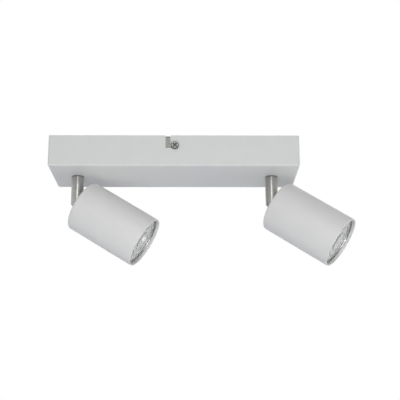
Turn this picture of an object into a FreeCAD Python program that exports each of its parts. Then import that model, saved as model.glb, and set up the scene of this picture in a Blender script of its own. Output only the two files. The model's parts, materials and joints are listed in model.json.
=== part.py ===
import FreeCAD, Part
import math
import os

# A surface bar with two swivelling spotlights, for a ceiling or a wall. Millimetres, +Z up.
# The origin is the centre of the mounting plane: the mounting side is up and the spots hang below it.
# A stem's own frame has its axis on Z. A head's own frame has the tilt pivot at the origin, its axis
# on Z towards the light, and the pivot screw on Y.

# Shared clearances
RUNNING_CLEARANCE = 0.05
THREAD_CLEARANCE = 0.05
SEAT_GAP = 0.3
OVERRUN = 2.0
LEVEL_TOLERANCE = 0.01
UPRIGHT_SHARE = 0.999

# Canopy, a steel tray open towards the ceiling
CANOPY_LENGTH = 260.0
CANOPY_DEPTH = 80.0
CANOPY_HEIGHT = 33.0
CANOPY_SHEET = 1.0
CANOPY_FOLD_RADIUS = 2.0
STEM_INSET = 26.7
BAYONET_SLOT_WIDTH = 5.0
BAYONET_SLOT_DEPTH = 13.7
BAYONET_SLOT_OFFSET = 7.1
BAYONET_SCREW_OFFSET = 0.9

# Mounting bracket, folded plated steel that stays on the ceiling
BRACKET_LENGTH = 150.0
BRACKET_PLATE_MARGIN = 9.0
BRACKET_SHEET = 1.2
BRACKET_FOLD_RADIUS = 2.2
BRACKET_CLEARANCE = 0.5
BRACKET_CORNER_RADIUS = 6.0
FLANGE_WIDTH = 36.0
FLANGE_HEIGHT = 19.0
FLANGE_BURR_HEIGHT = 1.6
FLANGE_BURR_WALL = 1.1
FIXING_MARGIN = 20.0
FIXING_SLOT_WIDTH = 5.2
FIXING_SLOT_LENGTH = 16.0
CABLE_HOLE_DIAMETER = 20.0

# Canopy screws, earth screw and other pan-head screws
M4_RADIUS = 2.0
M4_HEAD_RADIUS = 4.15
M4_HEAD_HEIGHT = 2.4
CANOPY_SCREW_LENGTH = 8.0
M3_RADIUS = 1.5
M3_HEAD_RADIUS = 2.8
M3_HEAD_HEIGHT = 1.9
HEAD_ROUND_SHARE = 0.6
RECESS_LENGTH_SHARE = 1.3
RECESS_WIDTH_SHARE = 0.24
RECESS_DEPTH_SHARE = 0.55
RECESS_TURN = 45.0

# Terminal block with three poles, under the bracket
BLOCK_PLACE = 36.0
BLOCK_WIDTH = 17.0
BLOCK_CREST_WIDTH = 10.0
BLOCK_HEIGHT = 12.0
BLOCK_SHOULDER_HEIGHT = 7.6
BLOCK_CREST_HEIGHT = 9.4
POLE_COUNT = 3
POLE_PITCH = 8.2
POLE_NOTCH_WIDTH = 1.2
POLE_NOTCH_DEPTH = 4.6
CLAMP_HEIGHT = 5.0
CLAMP_RADIUS = 2.2
CLAMP_BORE_RADIUS = 1.5
CLAMP_LENGTH = 15.0
CLAMP_CLEARANCE = 0.1
CLAMP_SCREW_RADIUS = 1.2
CLAMP_SCREW_LENGTH = 4.2
CLAMP_SCREW_SPREAD = 4.0
CLAMP_SCREW_SLOT_WIDTH = 0.5
CLAMP_SCREW_SLOT_DEPTH = 0.6
SCREW_WELL_RADIUS = 1.8

# Earthing: ring terminals, the screw on the bracket and the stud on the canopy's floor
EARTH_SCREW_OFFSET = 4.0
EARTH_SCREW_MARGIN = 6.0
EARTH_STUD_INSET = 27.3
EARTH_STUD_MARGIN = 16.0
EARTH_STUD_HEIGHT = 8.0
EARTH_NUT_ACROSS = 7.0
EARTH_NUT_HEIGHT = 3.2
RING_RADIUS = 4.0
RING_SHEET = 0.8
RING_REACH = 10.5
BARREL_RADIUS = 1.8
BARREL_LENGTH = 5.0
RING_STRIP_WIDTH = 3.2

# Leads
LEAD_RADIUS = 1.0
SLEEVE_RADIUS = 0.9
CONDUCTOR_RADIUS = 0.5
CONDUCTOR_LENGTH = 5.5
ARC_SHARE = 0.45
LEAD_LEVEL = -13.0
LIVE_LANE = -26.0
NEUTRAL_LANE = -22.0
LANE_SAG = 1.5
LANE_START_SHARE = 0.39
LANE_MIDDLE_SHARE = 0.2
LANE_END_SHARE = 0.5
ENTRY_RUN_SHARE = 0.33
RIGHT_TURN_SHARE = 0.3
RIGHT_ENTRY_SHARE = 0.22
EARTH_RUN = 6.0

# Stem, turned and nickel plated
STEM_DIAMETER = 13.2
STEM_BORE_RADIUS = 3.25
SPIGOT_RADIUS = 5.0
SPIGOT_FLAT = 0.8
SPIGOT_TOP_CHAMFER = 0.5
SWIVEL_WASHER_HEIGHT = 0.6
STOP_WASHER_HEIGHT = 1.0
STOP_WASHER_RADIUS = 8.4
STOP_TAB_REACH = 12.2
STOP_TAB_WIDTH = 2.4
STOP_PIN_RADIUS = 1.1
STOP_PIN_PLACE = 10.8
STOP_PIN_HEIGHT = 3.0
SPRING_WASHER_HEIGHT = 1.4
SPRING_WASHER_SHEET = 0.5
SPRING_WASHER_RADIUS = 8.0
SWIVEL_NUT_ACROSS = 14.0
SWIVEL_NUT_HEIGHT = 4.0
NUT_CHAMFER = 0.8
SPIGOT_STANDOUT = 2.0
BUSH_WALL = 0.5
BUSH_LENGTH = 6.0
BUSH_FLANGE_HEIGHT = 1.0
BUSH_CLEARANCE = 0.1
STEM_LEAD_PLACE = 1.6

# Knuckle: the stem's fork, the head's folded bracket in it and the pivot stack
CHEEK_GAP = 3.0
CHEEK_SHEET = 1.0
TONGUE_RADIUS = 5.5
FORK_WASHER_HEIGHT = 0.3
FORK_WASHER_RADIUS = 2.6
FORK_CLEARANCE = 0.1
KNUCKLE_CLEARANCE = 0.6
STOP_CLEARANCE = 0.3
PIVOT_HEAD_RADIUS = 2.7
PIVOT_HEAD_DEPTH = 1.7
PIVOT_NUT_ACROSS = 5.5
PIVOT_NUT_HEIGHT = 2.0
PIVOT_NUT_SUNK = 1.5
PIVOT_RECESS_CLEARANCE = 0.2
SPACER_RADIUS = 2.3
SLOT_CLEARANCE = 0.3
WING_REACH = 15.0
WING_WIDTH = 12.0
WINDOW_HALF_LENGTH = 4.2
RIVET_PLACE = 10.5
RIVET_RADIUS = 1.5
RIVET_HEAD_RADIUS = 2.7
RIVET_HEAD_DEPTH = 1.1
RIVET_TAIL_RADIUS = 2.4
RIVET_TAIL_HEIGHT = 0.9

# Lamp, a 50 mm reflector lamp with a twist-and-lock base
LAMP_DIAMETER = 50.0
LAMP_BODY_LENGTH = 48.9
LAMP_GLASS_THICKNESS = 2.0
LAMP_GLASS_EDGE = 0.7
LAMP_RIM_HEIGHT = 2.0
LAMP_RIM_STEP = 0.4
LAMP_FACET_RIM_RADIUS = 22.8
LAMP_FACET_THROAT_RADIUS = 6.0
LAMP_FACET_RINGS = 6
LAMP_FACETS_ROUND = 20
LAMP_WALL = 1.8
LAMP_NECK_RADIUS = 8.1
LAMP_NECK_BORE_RADIUS = 5.0
LAMP_BASE_LENGTH = 24.6
LAMP_BASE_WIDTH = 17.0
LAMP_BASE_CORNER = 3.0
LAMP_BASE_BLOCK_HEIGHT = 9.2
LAMP_SKIRT_HEIGHT = 6.5
LAMP_SKIRT_RADIUS = 11.0
LAMP_SKIRT_TOP_RADIUS = 10.2
LAMP_SOCKET_DEPTH = 5.0
PIN_SPACING = 10.0
PIN_RADIUS = 1.25
PIN_LENGTH = 7.0
PIN_HEAD_RADIUS = 2.4
PIN_HEAD_HEIGHT = 2.0
BURNER_RADIUS = 4.2
BURNER_LENGTH = 19.0

# Head, a cylinder with a closed, rounded back
HOLDER_STANDOFF = 10.75
HEAD_WALL = 1.55
HEAD_EDGE_RADIUS = 2.6
HEAD_RIM_RADIUS = 0.5
LAMP_CLEARANCE = 1.05
LAMP_RECESS = 3.0
CANOPY_TO_HEAD_CLEARANCE = 0.4

# Lampholder on its strap, inside the head
HOLDER_GAP = 0.3
HOLDER_DEPTH = 15.0
HOLDER_RADIUS = 14.0
HOLDER_FLAT = 12.0
HOLDER_EDGE = 0.8
HOLDER_PIN_HOLE_RADIUS = 2.9
HOLDER_PIN_HOLE_DEPTH = 9.0
HOLDER_SCREW_PLACE = 5.5
HOLDER_SCREW_LENGTH = 8.0
HOLDER_SCREW_WELL_RADIUS = 3.0
HOLDER_LEAD_PLACE = 9.5
HOLDER_LEAD_DEPTH = 2.5
STRAP_SHEET = 1.0
STRAP_WIDTH = 14.0
STRAP_HALF_SPAN = 8.0
HEAD_LEAD_PLACE = 2.2
HEAD_LEAD_START = 3.0
HEAD_LEAD_RISE = 3.6
HEAD_LEAD_RUN = 5.2

# Rest pose: how far each head is turned towards the front and how far it hangs below level, in degrees
LEFT_TURN_DEGREES = -6.8
LEFT_DROOP_DEGREES = 32.1
RIGHT_TURN_DEGREES = -17.1
RIGHT_DROOP_DEGREES = 34.2
SIDES = {
    "left": {"place": -1, "turn": LEFT_TURN_DEGREES, "droop": LEFT_DROOP_DEGREES},
    "right": {"place": 1, "turn": RIGHT_TURN_DEGREES, "droop": RIGHT_DROOP_DEGREES},
}

# Worked-out sizes of the canopy and the stem's stack
STEM_RADIUS = STEM_DIAMETER / 2
STEM_SPACING = CANOPY_LENGTH - 2 * STEM_INSET
UNDERSIDE = -CANOPY_HEIGHT
FLOOR = UNDERSIDE + CANOPY_SHEET
WALL_FACE = CANOPY_DEPTH / 2
FLANGE_FACE = WALL_FACE - CANOPY_SHEET - BRACKET_CLEARANCE
SCREW_LEVEL = -BAYONET_SLOT_DEPTH + BAYONET_SLOT_WIDTH / 2
BRACKET_UNDERSIDE = -BRACKET_SHEET
BRACKET_PLATE_WIDTH = CANOPY_DEPTH - 2 * BRACKET_PLATE_MARGIN
FIXING_SPACING = BRACKET_LENGTH - 2 * FIXING_MARGIN
EARTH_SCREW_PLACE = (EARTH_SCREW_OFFSET, BRACKET_PLATE_WIDTH / 2 - EARTH_SCREW_MARGIN)
EARTH_STUD_PLACE = (STEM_SPACING / 2 - EARTH_STUD_INSET, WALL_FACE - EARTH_STUD_MARGIN)
SHOULDER_LEVEL = UNDERSIDE - RUNNING_CLEARANCE - SWIVEL_WASHER_HEIGHT
STOP_WASHER_LEVEL = FLOOR + RUNNING_CLEARANCE
SPRING_WASHER_LEVEL = STOP_WASHER_LEVEL + STOP_WASHER_HEIGHT
SWIVEL_NUT_LEVEL = SPRING_WASHER_LEVEL + SPRING_WASHER_HEIGHT
SPIGOT_TOP = SWIVEL_NUT_LEVEL + SWIVEL_NUT_HEIGHT + SPIGOT_STANDOUT
BUSH_TOP = SPIGOT_TOP + BUSH_FLANGE_HEIGHT
CLAMP_LEVEL = BRACKET_UNDERSIDE - CLAMP_HEIGHT

# Worked-out sizes of the knuckle and the head, along the head's axis from the pivot
TONGUE_HALF_WIDTH = CHEEK_GAP / 2 + CHEEK_SHEET
FORK_HALF_GAP = TONGUE_HALF_WIDTH + FORK_WASHER_HEIGHT + FORK_CLEARANCE
CAP_BACK = STEM_RADIUS + KNUCKLE_CLEARANCE
CAP_INSIDE = CAP_BACK + HEAD_WALL
WEB_FRONT = CAP_INSIDE + CHEEK_SHEET
FOOT_FRONT = WEB_FRONT + STRAP_SHEET
HOLDER_BACK = CAP_INSIDE + HOLDER_STANDOFF
HOLDER_FRONT = HOLDER_BACK + HOLDER_DEPTH
LAMP_BACK = HOLDER_FRONT + HOLDER_GAP
GLASS_FRONT = LAMP_BACK + LAMP_BODY_LENGTH
GLASS_BACK = GLASS_FRONT - LAMP_GLASS_THICKNESS
RIM = GLASS_FRONT + LAMP_RECESS
HEAD_LENGTH = RIM - CAP_BACK
LAMP_RADIUS = LAMP_DIAMETER / 2
HEAD_BORE_RADIUS = LAMP_RADIUS + LAMP_CLEARANCE
HEAD_RADIUS = HEAD_BORE_RADIUS + HEAD_WALL
PIVOT_LEVEL = UNDERSIDE - HEAD_RADIUS - CANOPY_TO_HEAD_CLEARANCE
SKIRT_TOP = LAMP_BACK + LAMP_BASE_BLOCK_HEIGHT + LAMP_SKIRT_HEIGHT
SOCKET_FLOOR = SKIRT_TOP - LAMP_SOCKET_DEPTH

ORIGIN = FreeCAD.Vector(0, 0, 0)
X_AXIS = FreeCAD.Vector(1, 0, 0)
Y_AXIS = FreeCAD.Vector(0, 1, 0)
Z_AXIS = FreeCAD.Vector(0, 0, 1)
QUARTER_TURN = 90
HALF_TURN = 180
HEX_SIDES = 6


def vector(x, y, z):
    return FreeCAD.Vector(x, y, z)


def block(low, high):
    """A plain block between two corners."""
    size = [top - bottom for bottom, top in zip(low, high)]
    return Part.makeBox(size[0], size[1], size[2], vector(*low))


def cylinder(radius, low, high, x=0, y=0):
    """A cylinder along Z between two levels."""
    return Part.makeCylinder(radius, high - low, vector(x, y, low))


def cylinder_y(radius, low, high, x=0, z=0):
    """A cylinder along Y between two places."""
    return Part.makeCylinder(radius, high - low, vector(x, low, z), Y_AXIS)


def cylinder_x(radius, low, high, y=0, z=0):
    """A cylinder along X between two places."""
    return Part.makeCylinder(radius, high - low, vector(low, y, z), X_AXIS)


def turned(shape, axis, degrees):
    """A copy of the shape, turned about an axis through the origin."""
    copy = shape.copy()
    copy.rotate(ORIGIN, axis, degrees)
    return copy


def moved(shape, x=0, y=0, z=0):
    """A copy of the shape, shifted."""
    copy = shape.copy()
    copy.translate(vector(x, y, z))
    return copy


def edges_at_level(shape, level):
    """The edges that lie whole at one level."""
    return [
        edge
        for edge in shape.Edges
        if abs(edge.BoundBox.ZMin - level) < LEVEL_TOLERANCE
        and abs(edge.BoundBox.ZMax - level) < LEVEL_TOLERANCE
    ]


def edges_below(shape, level):
    """The edges that reach below a level."""
    return [edge for edge in shape.Edges if edge.BoundBox.ZMin < level]


def upright_edges(shape):
    """The straight edges along Z."""
    return [
        edge
        for edge in shape.Edges
        if isinstance(edge.Curve, Part.Line) and abs(edge.tangentAt(edge.FirstParameter).z) > UPRIGHT_SHARE
    ]


def turned_profile(points):
    """A solid of revolution about Z from its outline of (radius, level) points."""
    outline = Part.makePolygon([vector(radius, 0, level) for radius, level in points + points[:1]])
    return Part.Face(outline).revolve(ORIGIN, Z_AXIS, HALF_TURN * 2)


def ring(outer, inner, low, high):
    """A washer or a tube along Z."""
    return cylinder(outer, low, high).cut(cylinder(inner, low - OVERRUN, high + OVERRUN))


def hexagon(across, low, high):
    """A six-sided bar along Z, by its size across the flats, with its corners turned down at both ends."""
    corner = across / 2 / math.cos(math.pi / HEX_SIDES)
    angles = [2 * math.pi * index / HEX_SIDES for index in range(HEX_SIDES + 1)]
    outline = Part.makePolygon([vector(corner * math.cos(a), corner * math.sin(a), low) for a in angles])
    return Part.Face(outline).extrude(vector(0, 0, high - low))


def nut(across, bore, low, high, chamfer):
    """A hexagon nut with chamfered corners."""
    middle = across / 2
    outside = turned_profile(
        [(0, low), (middle, low), (middle + chamfer, low + chamfer), (middle + chamfer, high - chamfer),
         (middle, high), (0, high)]
    )
    return hexagon(across, low, high).common(outside).cut(cylinder(bore, low - OVERRUN, high + OVERRUN))


def pan_screw(radius, length, head_radius, head_height, recess_turn=0):
    """A pan-head screw with a cross recess: head below the origin, shank above it."""
    head = cylinder(head_radius, -head_height, 0)
    head = head.makeFillet(head_height * HEAD_ROUND_SHARE, edges_at_level(head, -head_height))
    screw = head.fuse(cylinder(radius, 0, length))
    reach = head_radius * RECESS_LENGTH_SHARE / 2
    width = head_radius * RECESS_WIDTH_SHARE / 2
    depth = head_height * RECESS_DEPTH_SHARE
    arm = block((-reach, -width, -head_height - OVERRUN), (reach, width, depth - head_height))
    for turn in (recess_turn, recess_turn + QUARTER_TURN):
        screw = screw.cut(turned(arm, Z_AXIS, turn))
    return screw


def path_of_arcs(points):
    """Straight runs joined by tangent arcs, each as large as its two runs allow. Prints the radii."""
    corners = [vector(*point) for point in points]
    edges = []
    radii = []
    start = corners[0]
    for before, here, after in zip(corners, corners[1:], corners[2:]):
        run_in = (here - before).Length
        run_out = (after - here).Length
        way_in = (here - before).normalize()
        way_out = (after - here).normalize()
        half_turn = way_in.getAngle(way_out) / 2
        trim = ARC_SHARE * min(run_in, run_out)
        radius = trim / math.tan(half_turn)
        first = here - way_in * trim
        last = here + way_out * trim
        inward = (way_out - way_in).normalize()
        middle = here + inward * (radius / math.cos(half_turn) - radius)
        edges.append(Part.LineSegment(start, first).toShape())
        edges.append(Part.Arc(first, middle, last).toShape())
        radii.append(round(radius, 1))
        start = last
    edges.append(Part.LineSegment(start, corners[-1]).toShape())
    return Part.Wire(edges), radii


def lead(name, points, radius):
    """A lead along its route, as one tube. Prints its bend radii and checks its volume."""
    path, radii = path_of_arcs(points)
    way = vector(*points[1]) - vector(*points[0])
    section = Part.Wire([Part.makeCircle(radius, vector(*points[0]), way)])
    tube = path.makePipeShell([section], True, False)
    expected = math.pi * radius * radius * path.Length
    share = round(tube.Volume / expected, 4)
    print(name, "length", round(path.Length, 1), "radii", radii, "volume share", share)
    return tube


def group(shapes):
    """Separate solids that share one node."""
    return Part.makeCompound(shapes)


# Canopy and bracket

def rounded_tray(length, depth, low, radius):
    """A block up to the mounting plane, rounded at its four uprights and its lower edges."""
    body = block((-length / 2, -depth / 2, low), (length / 2, depth / 2, 0))
    return body.makeFillet(radius, edges_below(body, low / 2))


def bayonet_slot(side):
    """The cutter of an L-shaped slot: down from the rim, then along to the screw."""
    half = BAYONET_SLOT_WIDTH / 2
    inner = side * (WALL_FACE - CANOPY_SHEET - OVERRUN)
    outer = side * (WALL_FACE + OVERRUN)
    low, high = min(inner, outer), max(inner, outer)
    leg_place = BAYONET_SCREW_OFFSET - BAYONET_SLOT_OFFSET
    leg = block((leg_place - half, low, -BAYONET_SLOT_DEPTH), (leg_place + half, high, OVERRUN))
    foot = block((leg_place, low, -BAYONET_SLOT_DEPTH), (BAYONET_SCREW_OFFSET, high, SCREW_LEVEL + half))
    end = cylinder_y(half, low, high, BAYONET_SCREW_OFFSET, SCREW_LEVEL)
    return leg.fuse([foot, end])


def stem_places():
    return [data["place"] * STEM_SPACING / 2 for data in SIDES.values()]


def canopy():
    shell = rounded_tray(CANOPY_LENGTH, CANOPY_DEPTH, UNDERSIDE, CANOPY_FOLD_RADIUS)
    inside = rounded_tray(
        CANOPY_LENGTH - 2 * CANOPY_SHEET,
        CANOPY_DEPTH - 2 * CANOPY_SHEET,
        FLOOR,
        CANOPY_FOLD_RADIUS - CANOPY_SHEET,
    )
    shell = shell.cut(inside)
    for side in (-1, 1):
        shell = shell.cut(bayonet_slot(side))
    hole = SPIGOT_RADIUS + RUNNING_CLEARANCE
    for place in stem_places():
        shell = shell.cut(cylinder(hole, UNDERSIDE - OVERRUN, FLOOR + OVERRUN, place))
    return shell


def canopy_studs():
    """The earth stud and the two pins that stop the stems, welded to the canopy's floor."""
    x, y = EARTH_STUD_PLACE
    studs = [cylinder(M4_RADIUS, FLOOR, FLOOR + EARTH_STUD_HEIGHT, x, y)]
    for place in stem_places():
        studs.append(cylinder(STOP_PIN_RADIUS, FLOOR, FLOOR + STOP_PIN_HEIGHT, place - STOP_PIN_PLACE))
    return group(studs)


def bracket_channel(half_width, low, high, radius, half_length):
    """A block as wide as the flanges reach, rounded along its two upper edges."""
    body = block((-half_length, -half_width, low), (half_length, half_width, high))
    along = [edge for edge in edges_at_level(body, high) if edge.BoundBox.XLength > half_length]
    return body.makeFillet(radius, along)


def fixing_slot(place):
    """The cutter of one slotted fixing hole, along X."""
    half = FIXING_SLOT_WIDTH / 2
    reach = FIXING_SLOT_LENGTH / 2 - half
    low, high = BRACKET_UNDERSIDE - OVERRUN, OVERRUN
    middle = block((place - reach, -half, low), (place + reach, half, high))
    return middle.fuse([cylinder(half, low, high, place - reach), cylinder(half, low, high, place + reach)])


def flange_burr(side):
    """The drawn collar that carries the thread of a canopy screw."""
    root = FLANGE_FACE - BRACKET_SHEET
    near, far = sorted((side * root, side * (root - FLANGE_BURR_HEIGHT)))
    return cylinder_y(M4_RADIUS + FLANGE_BURR_WALL, near, far, BAYONET_SCREW_OFFSET, SCREW_LEVEL)


def mounting_bracket():
    half_flange = FLANGE_WIDTH / 2
    plate = block(
        (-BRACKET_LENGTH / 2, -BRACKET_PLATE_WIDTH / 2, BRACKET_UNDERSIDE),
        (BRACKET_LENGTH / 2, BRACKET_PLATE_WIDTH / 2, 0),
    )
    plate = plate.makeFillet(BRACKET_CORNER_RADIUS, upright_edges(plate))
    outside = bracket_channel(FLANGE_FACE, -FLANGE_HEIGHT, 0, BRACKET_FOLD_RADIUS, half_flange)
    inside = bracket_channel(
        FLANGE_FACE - BRACKET_SHEET, -FLANGE_HEIGHT - OVERRUN, BRACKET_UNDERSIDE,
        BRACKET_FOLD_RADIUS - BRACKET_SHEET, half_flange + OVERRUN,
    )
    bracket = plate.fuse(outside.cut(inside))
    bracket = bracket.fuse([flange_burr(side) for side in (-1, 1)]).removeSplitter()
    tap = M4_RADIUS + THREAD_CLEARANCE
    cutters = [fixing_slot(side * FIXING_SPACING / 2) for side in (-1, 1)]
    cutters.append(cylinder_y(tap, -CANOPY_DEPTH, CANOPY_DEPTH, BAYONET_SCREW_OFFSET, SCREW_LEVEL))
    cutters.append(cylinder(CABLE_HOLE_DIAMETER / 2, BRACKET_UNDERSIDE - OVERRUN, OVERRUN))
    cutters.append(cylinder(tap, BRACKET_UNDERSIDE - OVERRUN, OVERRUN, *EARTH_SCREW_PLACE))
    block_tap = M3_RADIUS + THREAD_CLEARANCE
    cutters.append(cylinder(block_tap, BRACKET_UNDERSIDE - OVERRUN, OVERRUN, BLOCK_PLACE, -POLE_PITCH / 2))
    return bracket.cut(cutters)


def canopy_screws():
    """The two screws that pull the canopy's long walls against the bracket's flanges."""
    screw = pan_screw(M4_RADIUS, CANOPY_SCREW_LENGTH, M4_HEAD_RADIUS, M4_HEAD_HEIGHT, RECESS_TURN)
    near = moved(turned(screw, X_AXIS, -QUARTER_TURN), BAYONET_SCREW_OFFSET, -WALL_FACE, SCREW_LEVEL)
    far = moved(turned(screw, X_AXIS, QUARTER_TURN), BAYONET_SCREW_OFFSET, WALL_FACE, SCREW_LEVEL)
    return group([near, far])


# Terminal block and earthing

def pole_places():
    """Y places of the live, neutral and earth poles."""
    return [-POLE_PITCH, 0, POLE_PITCH]


def terminal_block():
    half_length = POLE_PITCH * POLE_COUNT / 2
    low = BRACKET_UNDERSIDE
    outline = [
        (-BLOCK_WIDTH / 2, low), (BLOCK_WIDTH / 2, low), (BLOCK_WIDTH / 2, low - BLOCK_SHOULDER_HEIGHT),
        (BLOCK_CREST_WIDTH / 2, low - BLOCK_CREST_HEIGHT), (BLOCK_CREST_WIDTH / 2, low - BLOCK_HEIGHT),
        (-BLOCK_CREST_WIDTH / 2, low - BLOCK_HEIGHT), (-BLOCK_CREST_WIDTH / 2, low - BLOCK_CREST_HEIGHT),
        (-BLOCK_WIDTH / 2, low - BLOCK_SHOULDER_HEIGHT),
    ]
    wire = Part.makePolygon([vector(BLOCK_PLACE + x, -half_length, z) for x, z in outline + outline[:1]])
    body = Part.Face(wire).extrude(vector(0, 2 * half_length, 0))
    bottom = low - BLOCK_HEIGHT
    cutters = []
    for place in pole_places():
        cutters.append(
            cylinder_x(CLAMP_RADIUS + CLAMP_CLEARANCE, BLOCK_PLACE - BLOCK_WIDTH, BLOCK_PLACE + BLOCK_WIDTH,
                       place, CLAMP_LEVEL)
        )
        for spread in (-CLAMP_SCREW_SPREAD, CLAMP_SCREW_SPREAD):
            well = cylinder(SCREW_WELL_RADIUS, bottom - OVERRUN, CLAMP_LEVEL, BLOCK_PLACE + spread, place)
            cutters.append(well)
    for place in (-POLE_PITCH / 2, POLE_PITCH / 2):
        cutters.append(
            block((BLOCK_PLACE - BLOCK_WIDTH, place - POLE_NOTCH_WIDTH / 2, bottom - OVERRUN),
                  (BLOCK_PLACE + BLOCK_WIDTH, place + POLE_NOTCH_WIDTH / 2, bottom + POLE_NOTCH_DEPTH))
        )
    cutters.append(
        cylinder(M3_RADIUS + CLAMP_CLEARANCE, bottom - OVERRUN, low + OVERRUN, BLOCK_PLACE, -POLE_PITCH / 2)
    )
    return body.cut(cutters)


def terminal_clamps():
    """One brass tube for each pole, tapped for its two screws."""
    clamps = []
    for place in pole_places():
        ends = (BLOCK_PLACE - CLAMP_LENGTH / 2, BLOCK_PLACE + CLAMP_LENGTH / 2)
        clamp = cylinder_x(CLAMP_RADIUS, ends[0], ends[1], place, CLAMP_LEVEL)
        clamp = clamp.cut(
            cylinder_x(CLAMP_BORE_RADIUS, ends[0] - OVERRUN, ends[1] + OVERRUN, place, CLAMP_LEVEL)
        )
        tap = CLAMP_SCREW_RADIUS + THREAD_CLEARANCE
        low = CLAMP_LEVEL - CLAMP_RADIUS - OVERRUN
        for spread in (-CLAMP_SCREW_SPREAD, CLAMP_SCREW_SPREAD):
            clamp = clamp.cut(cylinder(tap, low, CLAMP_LEVEL, BLOCK_PLACE + spread, place))
        clamps.append(clamp)
    return group(clamps)


def terminal_screws():
    """Slotted grub screws that press the conductors in the clamps."""
    tip = CLAMP_LEVEL - CONDUCTOR_RADIUS - CLAMP_CLEARANCE
    low = tip - CLAMP_SCREW_LENGTH
    screws = []
    for place in pole_places():
        for spread in (-CLAMP_SCREW_SPREAD, CLAMP_SCREW_SPREAD):
            screw = cylinder(CLAMP_SCREW_RADIUS, low, tip, BLOCK_PLACE + spread, place)
            half = CLAMP_SCREW_SLOT_WIDTH / 2
            slot = block(
                (BLOCK_PLACE + spread - half, place - CLAMP_RADIUS, low - OVERRUN),
                (BLOCK_PLACE + spread + half, place + CLAMP_RADIUS, low + CLAMP_SCREW_SLOT_DEPTH),
            )
            screws.append(screw.cut(slot))
    return group(screws)


def bracket_screws():
    """The earth screw and the screw that holds the terminal block, both driven from below."""
    x, y = EARTH_SCREW_PLACE
    shank = BRACKET_SHEET + RING_SHEET - THREAD_CLEARANCE
    earth = pan_screw(M4_RADIUS, shank, M4_HEAD_RADIUS, M4_HEAD_HEIGHT)
    grip = BLOCK_HEIGHT + BRACKET_SHEET - THREAD_CLEARANCE
    holder = pan_screw(M3_RADIUS, grip, M3_HEAD_RADIUS, M3_HEAD_HEIGHT)
    return group([
        moved(earth, x, y, BRACKET_UNDERSIDE - RING_SHEET),
        moved(holder, BLOCK_PLACE, -POLE_PITCH / 2, BRACKET_UNDERSIDE - BLOCK_HEIGHT),
    ])


def ring_terminal():
    """A crimped ring lying on the plane z = 0, with its barrel above it, open towards -X."""
    eye = cylinder(RING_RADIUS, 0, RING_SHEET)
    strip = block((-RING_REACH, -RING_STRIP_WIDTH / 2, 0), (0, RING_STRIP_WIDTH / 2, RING_SHEET))
    inner_end = BARREL_LENGTH - RING_REACH
    barrel = cylinder_x(BARREL_RADIUS, -RING_REACH, inner_end, 0, BARREL_RADIUS)
    bore = cylinder_x(
        LEAD_RADIUS + THREAD_CLEARANCE, -RING_REACH - OVERRUN, inner_end - RING_SHEET, 0, BARREL_RADIUS
    )
    hole = cylinder(M4_RADIUS + SEAT_GAP, -OVERRUN, RING_SHEET + OVERRUN)
    return eye.fuse([strip, barrel]).removeSplitter().cut([bore, hole])


def ring_terminals():
    """One ring under the bracket's earth screw and one on the canopy's earth stud."""
    on_bracket = moved(turned(ring_terminal(), Y_AXIS, HALF_TURN), *EARTH_SCREW_PLACE, BRACKET_UNDERSIDE)
    on_canopy = moved(ring_terminal(), *EARTH_STUD_PLACE, FLOOR)
    return group([on_bracket, on_canopy])


def canopy_earth_nut():
    low = FLOOR + RING_SHEET
    shape = nut(EARTH_NUT_ACROSS, M4_RADIUS + THREAD_CLEARANCE, low, low + EARTH_NUT_HEIGHT, NUT_CHAMFER / 2)
    return moved(shape, *EARTH_STUD_PLACE)


# Leads in the canopy

def block_entry(side):
    """Where a lead's insulation ends in front of a clamp, on one side of the block."""
    return BLOCK_PLACE + side * (BLOCK_WIDTH / 2 + SEAT_GAP)


def conductor(side, place):
    """The bare end of a lead inside its clamp."""
    start = block_entry(side)
    low, high = sorted((start, start - side * CONDUCTOR_LENGTH))
    return cylinder_x(CONDUCTOR_RADIUS, low, high, place, CLAMP_LEVEL)


def stem_lead_place(side_name, offset):
    """Where a lead leaves a stem: its place turns with the stem at rest."""
    data = SIDES[side_name]
    turn = math.radians(data["turn"])
    return data["place"] * STEM_SPACING / 2 + offset * math.cos(turn), offset * math.sin(turn)


def left_lead_route(lane, pole, offset):
    """From the left stem, along the front wall, to the block's near side."""
    x, y = stem_lead_place("left", offset)
    entry = block_entry(-1)
    return [
        (x, y, BUSH_TOP + SEAT_GAP), (x, y, LEAD_LEVEL),
        (-STEM_SPACING * LANE_START_SHARE + lane - LIVE_LANE, lane, LEAD_LEVEL),
        (-STEM_SPACING * LANE_MIDDLE_SHARE, lane - LANE_SAG, LEAD_LEVEL - LANE_SAG),
        (-FLANGE_WIDTH * LANE_END_SHARE, lane, LEAD_LEVEL),
        (entry - FLANGE_WIDTH * ENTRY_RUN_SHARE, pole, CLAMP_LEVEL), (entry, pole, CLAMP_LEVEL),
    ]


def right_lead_route(pole, offset):
    """From the right stem straight to the block's far side."""
    x, y = stem_lead_place("right", offset)
    entry = block_entry(1)
    span = STEM_SPACING / 2 - entry
    return [
        (x, y, BUSH_TOP + SEAT_GAP), (x, y, LEAD_LEVEL),
        (x - span * RIGHT_TURN_SHARE, pole, LEAD_LEVEL - LANE_SAG),
        (entry + span * RIGHT_ENTRY_SHARE, pole, CLAMP_LEVEL), (entry, pole, CLAMP_LEVEL),
    ]


def canopy_lead(name, route, side, pole):
    return lead(name, route, LEAD_RADIUS).fuse(conductor(side, pole))


def leads_live():
    live = pole_places()[0]
    return group([
        canopy_lead("live left", left_lead_route(LIVE_LANE, live, -STEM_LEAD_PLACE), -1, live),
        canopy_lead("live right", right_lead_route(live, STEM_LEAD_PLACE), 1, live),
    ])


def leads_neutral():
    neutral = pole_places()[1]
    return group([
        canopy_lead("neutral left", left_lead_route(NEUTRAL_LANE, neutral, STEM_LEAD_PLACE), -1, neutral),
        canopy_lead("neutral right", right_lead_route(neutral, -STEM_LEAD_PLACE), 1, neutral),
    ])


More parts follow.
